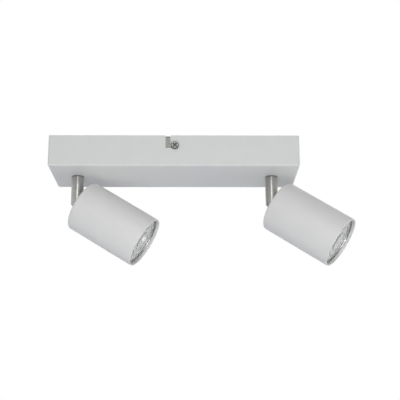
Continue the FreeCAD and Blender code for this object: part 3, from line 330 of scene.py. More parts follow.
@dataclass(frozen=True)
class BrushedMetal:
    """Plated or bare metal with fine grinding marks along one axis, a few cloudy patches and, where asked,
    painted shade that darkens its recesses.
    """

    name: str
    colour: Colour
    roughness: float
    stretch: Point = (1.0, 1.0, 1.0)
    line_mm: float = 0.16
    line_height_mm: float = 0.0015
    line_rough: float = 0.65
    cloud_mm: float = 3.5
    wear_shares: Pair = (0.85, 1.2)
    contrast: float = 0.09
    anisotropy: float = 0.0
    rotation: float = 0.0
    recess_shade: float = 0.0
    recess_shade_reach_mm: float = 2.0
    recess_shade_samples: int = 8
    openness_range: Pair = (0.45, 0.95)

    def make(self) -> Material:
        """Builds the material.

        Returns:
            The material.
        """
        sheet = MaterialSheet(self.name)
        sheet.set(Metallic=1.0, Anisotropic=self.anisotropy, Anisotropic_Rotation=self.rotation)
        if self.anisotropy:
            sheet.set(Tangent=sheet.add("ShaderNodeTangent", direction_type="RADIAL", axis="Z").outputs[0])
        lines = sheet.noise(self.line_mm, 3.0, sheet.stretched(self.stretch), self.line_rough)
        sheet.dulled(sheet.noise(self.cloud_mm, 3.0), self.roughness, self.wear_shares)
        sheet.tinted(sheet.spread(lines, 0, 1), self.colour, self.contrast, self.contrast)
        # Painted shade: the base colour darkens in corners and recesses, by ambient occlusion.
        if self.recess_shade:
            sheet.set(Base_Color=self.painted_recess_shade(sheet))
        sheet.bump(lines, self.line_height_mm)
        return sheet.material

    def painted_recess_shade(self, sheet: MaterialSheet) -> Socket:
        """The base colour, darkened in corners and recesses as painted shade, by how closed in each point is.

        Args:
            sheet: The material, with its base colour joined.

        Returns:
            The new colour's socket.
        """
        reach = {"Distance": self.recess_shade_reach_mm * MM}
        hollow = sheet.add("ShaderNodeAmbientOcclusion", reach, samples=self.recess_shade_samples)
        openness = sheet.spread(hollow.outputs["AO"], 0, 1, *self.openness_range)
        unshaded = sheet.shader.inputs["Base Color"].links[0].from_socket
        return sheet.blend(openness, shade(self.colour, -self.recess_shade), unshaded)


@dataclass(frozen=True)
class ZincPlate:
    """Bright zinc plating: a spangled grey with a faint blue and yellow tint."""

    name: str = "zinc_plating"
    colour: Colour = (0.2, 0.202, 0.195)
    cool: Colour = (0.93, 0.97, 1.03)
    warm: Colour = (1.05, 1.02, 0.93)
    roughness: float = 0.42
    wear_shares: Pair = (0.8, 1.3)
    spangle_mm: float = 2.2
    patch_mm: float = 5.0
    grain_mm: float = 0.4
    grain_height_mm: float = 0.002

    def make(self) -> Material:
        """Builds the material.

        Returns:
            The material.
        """
        sheet = MaterialSheet(self.name)
        where = {"Scale": 1 / (self.spangle_mm * MM), "Vector": sheet.position}
        spangle = sheet.add("ShaderNodeTexVoronoi", where).outputs["Distance"]
        tints = (self.cool, self.warm)
        cool, warm = (tuple(part * tone for part, tone in zip(self.colour, tint)) for tint in tints)
        patch = sheet.spread(sheet.noise(self.patch_mm, 3.0), 0, 1)
        smoothest, roughest = (self.roughness * share for share in self.wear_shares)
        rough = sheet.spread(spangle, smoothest, roughest, 0, 1)
        sheet.set(Metallic=1.0, Base_Color=sheet.blend(patch, cool, warm), Roughness=rough)
        sheet.bump(sheet.noise(self.grain_mm, 2.0), self.grain_height_mm)
        return sheet.material


@dataclass(frozen=True)
class Moulded:
    """Moulded plastic, rubber or fired clay: a matte body with fine grain and soft colour patches."""

    name: str
    colour: Colour
    roughness: float = 0.5
    grain_mm: float = 0.35
    grain_height_mm: float = 0.006
    patch_mm: float = 4.0
    contrast: float = 0.05

    def make(self) -> Material:
        """Builds the material.

        Returns:
            The material.
        """
        sheet = MaterialSheet(self.name)
        grain = sheet.noise(self.grain_mm, 3.0)
        patch = sheet.spread(sheet.noise(self.patch_mm, 2.0), 0, 1)
        sheet.tinted(patch, self.colour, self.contrast, self.contrast)
        sheet.dulled(grain, self.roughness)
        sheet.bump(grain, self.grain_height_mm)
        return sheet.material


@dataclass(frozen=True)
class StripedInsulation:
    """The earth leads' insulation: green, with a yellow stripe that winds round it."""

    name: str = "earth_insulation"
    green: Colour = (0.07, 0.30, 0.045)
    yellow: Colour = (0.72, 0.60, 0.05)
    pitch_mm: float = 3.4
    sharpness: float = 1.5
    roughness: float = 0.42
    wear_mm: float = 0.4
    grain_mm: float = 0.35
    grain_height_mm: float = 0.006

    def make(self) -> Material:
        """Builds the material.

        Returns:
            The material.
        """
        sheet = MaterialSheet(self.name)
        where = {"Vector": sheet.position, "Scale": BAND_SCALE / (self.pitch_mm * MM)}
        wave = sheet.add("ShaderNodeTexWave", where, wave_type="BANDS", bands_direction="DIAGONAL")
        stripe = sheet.spread(wave.outputs["Fac"], -self.sharpness, self.sharpness)
        sheet.set(Base_Color=sheet.blend(stripe, self.green, self.yellow))
        sheet.dulled(sheet.noise(self.wear_mm, 2.0), self.roughness)
        sheet.bump(sheet.noise(self.grain_mm, 3.0), self.grain_height_mm)
        return sheet.material


@dataclass(frozen=True)
class BraidedSleeve:
    """Braided glass-fibre sleeving over a lead: two sets of crossing ribs."""

    name: str = "braided_sleeve"
    colour: Colour = (0.78, 0.76, 0.70)
    rib_mm: float = 0.5
    rib_scale: float = 0.3
    rib_height_mm: float = 0.08
    contrast: float = 0.35

    def make(self) -> Material:
        """Builds the material.

        Returns:
            The material.
        """
        sheet = MaterialSheet(self.name)
        sheet.set(Roughness=0.8, Sheen_Weight=0.2)
        waves = []
        for direction in ((1, 1, 1), (-1, 1, 1)):
            where = {"Scale": self.rib_scale / (self.rib_mm * MM), "Vector": sheet.stretched(direction)}
            waves.append(sheet.add("ShaderNodeTexWave", where, bands_direction="DIAGONAL").outputs["Fac"])
        crossed = sheet.step("MAXIMUM", *waves)
        sheet.tinted(crossed, self.colour, self.contrast, 0.0)
        sheet.bump(crossed, self.rib_height_mm)
        return sheet.material


@dataclass(frozen=True)
class MirrorCoat:
    """The vapour-coated inside of a reflector: satin, with a soft peened ripple."""

    name: str = "reflector_coating"
    colour: Colour = (0.65, 0.65, 0.665)
    roughness: float = 0.5
    ripple_mm: float = 1.6
    ripple_height_mm: float = 0.006
    cloud_mm: float = 4.0
    wear_shares: Pair = (0.7, 1.4)
    contrasts: Pair = (0.06, 0.04)

    def make(self) -> Material:
        """Builds the material.

        Returns:
            The material.
        """
        sheet = MaterialSheet(self.name)
        sheet.set(Metallic=0.75)
        ripple = sheet.noise(self.ripple_mm, 2.0)
        sheet.tinted(sheet.spread(ripple, 0, 1), self.colour, *self.contrasts)
        sheet.dulled(sheet.noise(self.cloud_mm, 2.0), self.roughness, self.wear_shares)
        sheet.bump(ripple, self.ripple_height_mm)
        return sheet.material


@dataclass(frozen=True)
class ClearGlass:
    """Pressed or blown clear glass, with a trace of waviness."""

    name: str
    colour: Colour = (0.97, 0.985, 0.98)
    roughness: float = 0.02
    wave_mm: float = 6.0
    wave_height_mm: float = 0.01
    contrast: float = 0.015

    def make(self) -> Material:
        """Builds the material.

        Returns:
            The material.
        """
        sheet = MaterialSheet(self.name)
        sheet.set(Roughness=self.roughness, IOR=1.47, Transmission_Weight=1.0)
        haze = sheet.spread(sheet.noise(self.wave_mm, 2.0), 0, 1)
        sheet.tinted(haze, self.colour, self.contrast, 0.0)
        sheet.bump(sheet.noise(self.wave_mm, 1.0), self.wave_height_mm)
        return sheet.material


def finishes() -> dict[str, Material]:
    """Every finish of the bar light, by its slot.

    Returns:
        A material for each slot.
    """
    recipes = {
        "white_coat": PowderCoat("white_canopy_coat", (0.785, 0.799, 0.774)),
        # Painted light: the heads' copy of the white coat is lighter than the canopy's, standing in for the
        # key lamp's sheen on their curved sides.
        "shell_coat_painted_lighter": PowderCoat("white_shell_coat", (0.857, 0.859, 0.832)),
        # The stems' nickel and the screws' steel carry painted shade in their recesses.
        "satin_nickel": BrushedMetal(
            "satin_nickel", (0.44, 0.435, 0.415), 0.36, (0.6, 0.6, 1.0), line_mm=0.9, contrast=0.22,
            anisotropy=0.9, rotation=0.25, recess_shade=0.6,
        ),
        "zinc_plate": ZincPlate(),
        "zinc_screw": BrushedMetal("turned_screw_steel", (0.18, 0.18, 0.173), 0.36, line_mm=0.3, recess_shade=0.8),
        "spring_steel": BrushedMetal("blued_spring_steel", (0.13, 0.13, 0.15), 0.35),
        "brass_clamp": BrushedMetal("turned_brass", (0.70, 0.52, 0.24), 0.28, (0.05, 1.0, 1.0)),
        "copper_tin": BrushedMetal("tinned_copper", (0.62, 0.60, 0.56), 0.4, (0.2, 1.0, 1.0)),
        "block_plastic": Moulded("white_block_plastic", (0.74, 0.74, 0.72), 0.45),
        "black_plastic": Moulded("black_nylon", (0.035, 0.035, 0.04)),
        "live_lead": Moulded("brown_insulation", (0.17, 0.07, 0.035), 0.42, contrast=0.08),
        "neutral_lead": Moulded("blue_insulation", (0.03, 0.12, 0.42), 0.42, contrast=0.08),
        "earth_lead": StripedInsulation(),
        "sleeve": BraidedSleeve(),
        "holder_ceramic": Moulded("holder_steatite", (0.76, 0.73, 0.66), 0.7, 0.25, 0.012, contrast=0.04),
        "lamp_ceramic": Moulded("lamp_base_steatite", (0.80, 0.80, 0.77), 0.55, 0.2, 0.01, contrast=0.03),
        "reflector": MirrorCoat(),
        "seal": Moulded("grey_seal", (0.24, 0.24, 0.23), 0.6, contrast=0.15),
        "clear_glass": ClearGlass("front_glass", wave_height_mm=0.002),
        "burner_glass": ClearGlass("quartz_burner", roughness=0.06, wave_mm=2.0),
        "pin_metal": BrushedMetal("nickel_pin", (0.66, 0.64, 0.60), 0.22),
    }
    return {slot: recipe.make() for slot, recipe in recipes.items()}


def dress(piece: Piece, material: Material) -> None:
    """Gives a mesh object one finish all over.

    Args:
        piece: The object.
        material: Its finish.
    """
    piece.data.materials.clear()
    piece.data.materials.append(material)
    for face in piece.data.polygons:
        face.material_index = 0


# Stage


def linked(name: str, data: bpy.types.ID) -> Piece:
    """A new object in the scene.

    Args:
        name: Its name.
        data: Its mesh, lamp or camera.

    Returns:
        The object.
    """
    item = bpy.data.objects.new(name, data)
    bpy.context.scene.collection.objects.link(item)
    return item


@dataclass(frozen=True)
class SoftLamp:
    """One area lamp that faces the bar light, in metres and watts.

    Only shiny surfaces show a mirrored lamp, and they show no other.
    """

    name: str
    place: Point
    size: Pair
    energy: float
    tint: Colour = (1.0, 0.995, 0.955)
    mirrored: bool = False
    target: Point = (0, 0, -0.07)

    def build(self) -> None:
        """Adds the lamp."""
        data = bpy.data.lights.new(self.name, "AREA")
        data.shape = "RECTANGLE"
        data.size, data.size_y = self.size
        data.energy = self.energy
        data.color = self.tint
        lamp = linked(self.name, data)
        lamp.location = self.place
        way = Vector(self.target) - Vector(self.place)
        lamp.rotation_euler = way.to_track_quat("-Z", "Y").to_euler()
        lamp.visible_glossy = self.mirrored
        lamp.visible_diffuse = not self.mirrored


# Soft lamps low in front and at one side, and a tall softbox that the stems mirror as a strip
LAMPS = (
    SoftLamp("key_lamp", (0.0, -1.34, -1.15), (1.3, 1.3), 18.8),
    SoftLamp("side_lamp", (1.53, -0.41, -0.81), (1.2, 1.2), 5.0),
    SoftLamp("strip_lamp", (0.03, -1.76, 0.05), (0.62, 1.5), 8.0, WHITE, True),
)


@dataclass
class Studio:
    """The camera, the lamps, the floor and the pale surroundings."""

    focal_pixels: float = 925.46
    pitch: float = 15.552
    yaw: float = 0.251
    camera_place: Point = (0.022946, -0.947163, -0.322062)
    camera_reach: float = 50.0
    floor_level: float = -1.25
    floor_size: float = 9.0
    floor_colour: Colour = (0.8, 0.81, 0.88)
    floor_cloud_mm: float = 400.0
    floor_contrast: float = 0.01
    floor_glow: float = 0.45
    floor_glow_tint: Colour = (1.0, 1.0, 0.85)
    sky_colour: Colour = (0.428, 0.43, 0.45)

    def build(self) -> None:
        """Sets up all of it."""
        self.camera()
        self.surroundings()
        self.floor()
        for lamp in LAMPS:
            lamp.build()
        bpy.context.scene.view_settings.view_transform = "Standard"

    def camera(self) -> None:
        """The photograph's camera."""
        data = bpy.data.cameras.new("photo_camera")
        data.sensor_width = SENSOR_WIDTH
        data.lens = self.focal_pixels / PHOTO_PIXELS * SENSOR_WIDTH
        data.clip_end = self.camera_reach
        camera = linked("photo_camera", data)
        camera.location = self.camera_place
        camera.rotation_euler = (math.radians(90 + self.pitch), 0, math.radians(-self.yaw))
        bpy.context.scene.camera = camera

    def surroundings(self) -> None:
        """A soft grey sky that camera, gloss and glass rays see as white."""
        world = bpy.data.worlds.new("pale_surroundings")
        bpy.context.scene.world = world
        world.use_nodes = True
        sheet = NodeSheet(world.node_tree)
        rays = sheet.add("ShaderNodeLightPath").outputs
        seen = sheet.step("MAXIMUM", rays["Is Camera Ray"], rays["Is Glossy Ray"])
        seen = sheet.step("MAXIMUM", seen, rays["Is Transmission Ray"])
        background = sheet.tree.nodes["Background"]
        sheet.feed(background, "Strength", 1.0)
        sheet.feed(background, "Color", sheet.blend(seen, self.sky_colour, WHITE))

    def floor(self) -> None:
        """A plain pale floor, well below the bar, which the camera sees a little brighter."""
        half = self.floor_size / 2
        mesh = bpy.data.meshes.new("floor")
        corners = [(-half, -half), (half, -half), (half, half), (-half, half)]
        mesh.from_pydata([(x, y, self.floor_level) for x, y in corners], [], [(0, 1, 2, 3)])
        sheet = MaterialSheet("pale_floor")
        sheet.set(Roughness=0.9, Specular_IOR_Level=0.1, Emission_Color=(*self.floor_glow_tint, 1))
        cloud = sheet.spread(sheet.noise(self.floor_cloud_mm, 2.0), 0, 1)
        sheet.tinted(cloud, self.floor_colour, self.floor_contrast, self.floor_contrast)
        seen = sheet.add("ShaderNodeLightPath").outputs["Is Camera Ray"]
        sheet.set(Emission_Strength=sheet.spread(seen, 0, self.floor_glow))
        mesh.materials.append(sheet.material)
        floor = linked("floor", mesh)


# Mesh helpers


def smooth(mesh: Mesh, angle: float = SMOOTH_ANGLE) -> None:
    """Shades a mesh smooth, with sharp edges where it folds by more than the angle.

    Args:
        mesh: The mesh.
        angle: The angle, in radians.
    """
    for face in mesh.polygons:
        face.use_smooth = True
    mesh.set_sharp_from_angle(angle=angle)


def new_piece(
    name: str, mesh: Mesh, material: Material, body: str, matrix: Matrix, angle: float = SMOOTH_ANGLE
) -> Piece:
    """Puts a finished mesh at its place in the scene, on its body.

    Args:
        name: The piece's name.
        mesh: Its mesh, in its own frame.
        material: Its finish.
        body: The CAD body it rides on.
        matrix: From its own frame to the bar's frame.
        angle: Where it folds by more than this, it has a sharp edge.

    Returns:
        The piece.
    """
    mesh.transform(matrix)
    smooth(mesh, angle)
    piece = linked(name, mesh)
    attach(piece, body)
    dress(piece, material)
    log.info("%s: on %s, %d faces", name, body, len(mesh.polygons))
    return piece


def finished(shape: bmesh.types.BMesh, name: str) -> Mesh:
    """The mesh of a shape under construction, which ends here.

    Args:
        shape: The shape.
        name: The mesh's name.

    Returns:
        The mesh.
    """
    mesh = bpy.data.meshes.new(name)
    shape.to_mesh(mesh)
    shape.free()
    return mesh


def arc(centre: Pair, radius: float, start: float, end: float, steps: int) -> Outline:
    """Points on an arc in the plane of radius and level, angles in degrees from the radius axis.

    Args:
        centre: The arc's centre.
        radius: The arc's radius.
        start: Where it starts.
        end: Where it ends.
        steps: How many steps it has.

    Returns:
        The points, with both ends.
    """
    points = []
    for index in range(steps + 1):
        angle = math.radians(start + (end - start) * index / steps)
        points.append((centre[0] + radius * math.cos(angle), centre[1] + radius * math.sin(angle)))
    return points


def spun(name: str, outline: Outline, segments: int) -> Mesh:
    """A surface of revolution about Z.

    Args:
        name: The mesh's name.
        outline: Points of radius and level in millimetres; a radius of 0 is a pole.
        segments: How many steps go round.

    Returns:
        The mesh, in metres, with its faces outwards.
    """
    shape = bmesh.new()
    rings = []
    for radius, level in outline:
        ring = []
        for index in range(segments if radius > SAME_PLACE else 1):
            angle = 2 * math.pi * index / segments
            x, y = radius * MM * math.cos(angle), radius * MM * math.sin(angle)
            ring.append(shape.verts.new((x, y, level * MM)))
        rings.append(ring)
    for low, high in zip(rings, rings[1:]):
        for index in range(segments):
            corners = [low[index % len(low)], low[(index + 1) % len(low)]]
            corners += [high[(index + 1) % len(high)], high[index % len(high)]]
            shape.faces.new(tuple(dict.fromkeys(corners)))  # a pole counts once
    bmesh.ops.recalc_face_normals(shape, faces=shape.faces)
    return finished(shape, name)


def box_mesh(name: str, low: Point, high: Point) -> Mesh:
    """A plain block between two corners in millimetres, for use as a cutter.

    Args:
        name: The mesh's name.
        low: The lower corner.
        high: The upper corner.

    Returns:
        The mesh.
    """
    shape = bmesh.new()
    bmesh.ops.create_cube(shape, size=1.0)
    for vert in shape.verts:
        for axis in range(3):
            vert.co[axis] = (low[axis] + (vert.co[axis] + 0.5) * (high[axis] - low[axis])) * MM
    return finished(shape, name)


def evaluated_mesh(item: Piece) -> Mesh:
    """An object's mesh with its modifiers applied."""
    return bpy.data.meshes.new_from_object(item.evaluated_get(bpy.context.evaluated_depsgraph_get()))


def cut(mesh: Mesh, cutters: Sequence[Mesh]) -> Mesh:
    """Subtracts closed meshes from a closed mesh.

    Args:
        mesh: What is cut.
        cutters: What is taken away, in turn.

    Returns:
        The result as a new plain mesh.
    """
    body = linked("cut_body", mesh)
    helpers = [linked("cutter", cutter) for cutter in cutters]
    for helper in helpers:
        modifier = body.modifiers.new("cut", "BOOLEAN")
        modifier.operation = "DIFFERENCE"
        modifier.solver = "EXACT"
        modifier.object = helper
    result = evaluated_mesh(body)
    for item in [body, *helpers]:
        bpy.data.objects.remove(item)
    return result


# Geometry Nodes


class ShapeTree(NodeSheet):
    """A Geometry Nodes tree under construction, with named inputs for its sizes."""

    def __init__(self, name: str) -> None:
        """Starts a tree.

        Args:
            name: The tree's name.
        """
        super().__init__(bpy.data.node_groups.new(name, "GeometryNodeTree"))
        self.tree.interface.new_socket("Geometry", in_out="OUTPUT", socket_type="NodeSocketGeometry")
        self.entry = self.tree.nodes.new("NodeGroupInput")
        self.exit = self.tree.nodes.new("NodeGroupOutput")
        self.identifiers: dict[str, str] = {}

    def named(self, name: str, kind: str = "Float") -> Socket:
        """Adds a named input.

        Args:
            name: The input's name.
            kind: Float, Int, Object or Material.

        Returns:
            The socket that gives its value inside the tree.
        """
        item = self.tree.interface.new_socket(name, in_out="INPUT", socket_type=f"NodeSocket{kind}")
        self.identifiers[name] = item.identifier
        return next(socket for socket in self.entry.outputs if socket.identifier == item.identifier)

    def circle(self, radius: str, steps: int) -> Node:
        """A circle whose radius is a new named input."""
        sizes = {"Resolution": steps, "Radius": self.named(radius)}
        return self.add("GeometryNodeCurvePrimitiveCircle", sizes)

    def swept(self, path: Node, section: Node, capped: bool) -> None:
        """Ends the tree with a section drawn along a path."""
        curves = {"Curve": path.outputs[0], "Profile Curve": section.outputs[0], "Fill Caps": capped}
        self.close(self.add("GeometryNodeCurveToMesh", curves).outputs[0])

    def close(self, geometry: Socket) -> None:
        """Ends the tree: instances made real, and one material on everything.

        Args:
            geometry: What the tree has made.
        """
        real = self.add("GeometryNodeRealizeInstances", {"Geometry": geometry}).outputs[0]
        inputs = {"Geometry": real, "Material": self.named("Material", "Material")}
        self.feed(self.exit, 0, self.add("GeometryNodeSetMaterial", inputs).outputs[0])

    def mesh(self, name: str, values: dict[str, object]) -> Mesh:
        """Runs the tree once.

        Args:
            name: The new mesh's name.
            values: A value for each named input.

        Returns:
            The result as a plain mesh.
        """
        host = linked(name, bpy.data.meshes.new(f"{name}_host"))
        modifier = host.modifiers.new("shape", "NODES")
        modifier.node_group = self.tree
        for key, value in values.items():
            modifier[self.identifiers[key]] = value
        result = evaluated_mesh(host)
        result.name = name
        bpy.data.objects.remove(host)
        return result


def facet_field() -> ShapeTree:
    """Rings of flat facets on a parabola, each ring set half a facet on from the last.

    Returns:
        The tree.
    """
    tree = ShapeTree("facet_field")
    rings, round_count = tree.named("Rings", "Int"), tree.named("Facets Round", "Int")
    throat, rim = tree.named("Throat Radius"), tree.named("Rim Radius")
    vertex, depth = tree.named("Vertex Level"), tree.named("Depth")
    step = tree.step
    across = step("ADD", round_count, 1.0)
    counts = {"Vertices X": step("ADD", rings, 1.0), "Vertices Y": across}
    grid = tree.add("GeometryNodeMeshGrid", counts).outputs["Mesh"]
    index = tree.add("GeometryNodeInputIndex").outputs[0]
    row = step("FLOOR", step("DIVIDE", step("ADD", index, 0.5), across))
    column = step("SUBTRACT", index, step("MULTIPLY", row, across))
    shift = step("MULTIPLY", step("MODULO", row, 2.0), 0.5)
    share = step("DIVIDE", step("ADD", column, shift), round_count)
    angle = step("MULTIPLY", share, 2 * math.pi)
    widening = step("MULTIPLY", step("SUBTRACT", rim, throat), step("DIVIDE", row, rings))
    radius = step("ADD", throat, widening)
    rise = step("MULTIPLY", depth, step("POWER", step("DIVIDE", radius, rim), 2.0))
    point = {
        "X": step("MULTIPLY", radius, step("COSINE", angle)),
        "Y": step("MULTIPLY", radius, step("SINE", angle)),
        "Z": step("ADD", vertex, rise),
    }
    place = tree.add("ShaderNodeCombineXYZ", point).outputs[0]
    curved = tree.add("GeometryNodeSetPosition", {"Geometry": grid, "Position": place}).outputs[0]
    closed = {"Geometry": curved, "Distance": SAME_PLACE}
    tree.close(tree.add("GeometryNodeMergeByDistance", closed).outputs[0])
    return tree


def fastener_grid() -> ShapeTree:
    """Copies of one fastener on a grid; those in the far row are turned about Z.

    Returns:
        The tree.
    """
    tree = ShapeTree("fastener_grid")
    source = tree.add("GeometryNodeObjectInfo", {"Object": tree.named("Fastener", "Object")})
    sizes = {"Vertices X": tree.named("Columns", "Int"), "Vertices Y": tree.named("Rows", "Int")}
    sizes.update({"Size X": tree.named("Width"), "Size Y": tree.named("Depth")})
    grid = tree.add("GeometryNodeMeshGrid", sizes).outputs["Mesh"]
    place = tree.add("GeometryNodeInputPosition").outputs[0]
    beyond = tree.step("GREATER_THAN", tree.add("ShaderNodeSeparateXYZ", {0: place}).outputs["Y"], 0.0)
    turn = tree.step("MULTIPLY", beyond, tree.named("Far Turn"))
    spin = tree.add("ShaderNodeCombineXYZ", {"Z": turn}).outputs[0]
    copies = {"Points": grid, "Instance": source.outputs["Geometry"], "Rotation": spin}
    tree.close(tree.add("GeometryNodeInstanceOnPoints", copies).outputs[0])
    return tree


def wound_coil(turn_steps: int = 12, wire_sides: int = 6) -> ShapeTree:
    """A helix of round wire about Z.

    Args:
        turn_steps: How many straight steps one turn has.
        wire_sides: How many sides the wire's section has.

    Returns:
        The tree.
    """
    tree = ShapeTree("wound_coil")
    radius = tree.named("Coil Radius")
    sizes = {"Start Radius": radius, "End Radius": radius, "Height": tree.named("Coil Length")}
    sizes.update({"Rotations": tree.named("Turns"), "Resolution": turn_steps})
    path = tree.add("GeometryNodeCurveSpiral", sizes)
    tree.swept(path, tree.circle("Wire Radius", wire_sides), True)
    return tree


def round_bead(steps: int = 104, sides: int = 12) -> ShapeTree:
    """A closed bead of round section about Z.

    Args:
        steps: How many straight steps go round.
        sides: How many sides its section has.

    Returns:
        The tree.
    """
    tree = ShapeTree("round_bead")
    tree.swept(tree.circle("Bead Radius", steps), tree.circle("Thickness", sides), False)
    return tree


class Workshop:
    """The finishes and the Geometry Nodes trees, made once and handed to every sub-assembly."""

    def __init__(self) -> None:
        """Builds them."""
        self.materials = finishes()
        self.facets = facet_field()
        self.fasteners = fastener_grid()
        self.coil = wound_coil()
        self.bead = round_bead()

    def shaped(self, tree: ShapeTree, name: str, slot: str, values: dict[str, object]) -> Mesh:
        """Runs a tree with a finish on it.

        Args:
            tree: One of the workshop's trees.
            name: The mesh's name.
            slot: The finish's slot.
            values: A value for each of the tree's own inputs.

        Returns:
            The mesh.
        """
        return tree.mesh(name, {**values, "Material": self.materials[slot]})

    def copies(self, name: str, mesh: Mesh, slot: str, values: dict[str, object]) -> Mesh:
        """Repeats one fastener on a grid.

        Args:
            name: The result's name.
            mesh: The fastener's mesh, about its own origin.
            slot: The finish's slot.
            values: The grid's sizes.

        Returns:
            All the copies in one mesh.
        """
        source = linked(f"{name}_source", mesh)
        result = self.shaped(self.fasteners, name, slot, {"Fastener": source, "Far Turn": 0.0, **values})
        bpy.data.objects.remove(source)
        return result

    def on_head(
        self, spot: Spot, name: str, mesh: Mesh, slot: str, level: float = 0.0, angle: float = SMOOTH_ANGLE
    ) -> Piece:
        """A new piece on one spot's head, with its mesh's origin at a level along the head's axis.

        Args:
            spot: The spot.
            name: The piece's name, without the side.
            mesh: Its mesh.
            slot: Its finish's slot.
            level: The level of its origin, from the pivot, in millimetres.
            angle: Where it folds by more than this, it has a sharp edge.

        Returns:
            The piece.
        """
        body, matrix = spot.named("head"), spot.head_matrix(level)
        return new_piece(spot.named(name), mesh, self.materials[slot], body, matrix, angle)

    def dress_nodes(self, frame: dict) -> None:
        """Gives every CAD node the finish of its record slot.
        """
        slots = {entry["node"]: entry["material_slot"] for entry in frame["record"]["subparts"]}
        for name, piece in frame["nodes"].items():
            dress(piece, self.materials[slots[name]])
        log.info("%d CAD nodes dressed", len(frame["nodes"]))


# Sub-assemblies


@dataclass
class HeadShell:
    """The white cylinder round each lamp: a tube with a closed, rounded back and a slot for its hinge."""

    radius: float = 27.6
    wall: float = 1.55
    back: float = 7.2
    length: float = 79.5
    edge_radius: float = 2.6
    rim_round: float = 0.5
    slot_half: Pair = (5.8, 2.8)
    rivet_place: float = 10.5
    rivet_hole: tuple[float, float, float] = (2.75, 1.55, 1.1)
    overrun: float = 2.0
    segments: int = 128
    edge_steps: int = 8
    rim_steps: int = 4
    hole_segments: int = 32

    def outline(self) -> Outline:
        """The wall's outline, from the outside of the back round the rim to the inside of the back.

        Returns:
            Points of radius and level.
        """
        edge, rim_round = self.edge_radius, self.rim_round
        rim = self.back + self.length - rim_round
        inner = self.radius - self.wall
        inside_back = self.back + self.wall
        inner_edge = edge - self.wall
        points = [(0, self.back)]
        points += arc((self.radius - edge, self.back + edge), edge, -90, 0, self.edge_steps)
        points += arc((self.radius - rim_round, rim), rim_round, 0, 90, self.rim_steps)
        points += arc((inner + rim_round, rim), rim_round, 90, 180, self.rim_steps)
        foot = (inner - inner_edge, inside_back + inner_edge)
        points += arc(foot, inner_edge, 0, -90, self.rim_steps)
        return points + [(0, inside_back)]

    def cutters(self) -> list[Mesh]:
        """The hinge's slot and the two countersunk rivet holes.

        Returns:
            The meshes that are cut away.
        """
        low, high = self.back - self.overrun, self.back + self.wall + self.overrun
        half_x, half_y = self.slot_half
        found = [box_mesh("slot", (-half_x, -half_y, low), (half_x, half_y, high))]
        wide, narrow, depth = self.rivet_hole
        outline = [(0, low), (wide, low), (wide, self.back)]
        outline += [(narrow, self.back + depth), (narrow, high), (0, high)]
        for sign in (-1, 1):
            cone = spun("rivet_hole", outline, self.hole_segments)
            cone.transform(Matrix.Translation(Vector((sign * self.rivet_place * MM, 0, 0))))
            found.append(cone)
        return found

    def build(self, spot: Spot, shop: Workshop) -> None:
        """Makes the shell of one spot.

        Args:
            spot: The spot it belongs to.
            shop: The finishes and the trees.
        """
        node = spot.named("head_shell")
        mesh = cut(spun(node, self.outline(), self.segments), self.cutters())
        # The shell takes the lighter copy of the white coat, painted light for the key lamp's sheen.
        piece = shop.on_head(spot, "spot_shell", mesh, "shell_coat_painted_lighter")
        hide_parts(node)


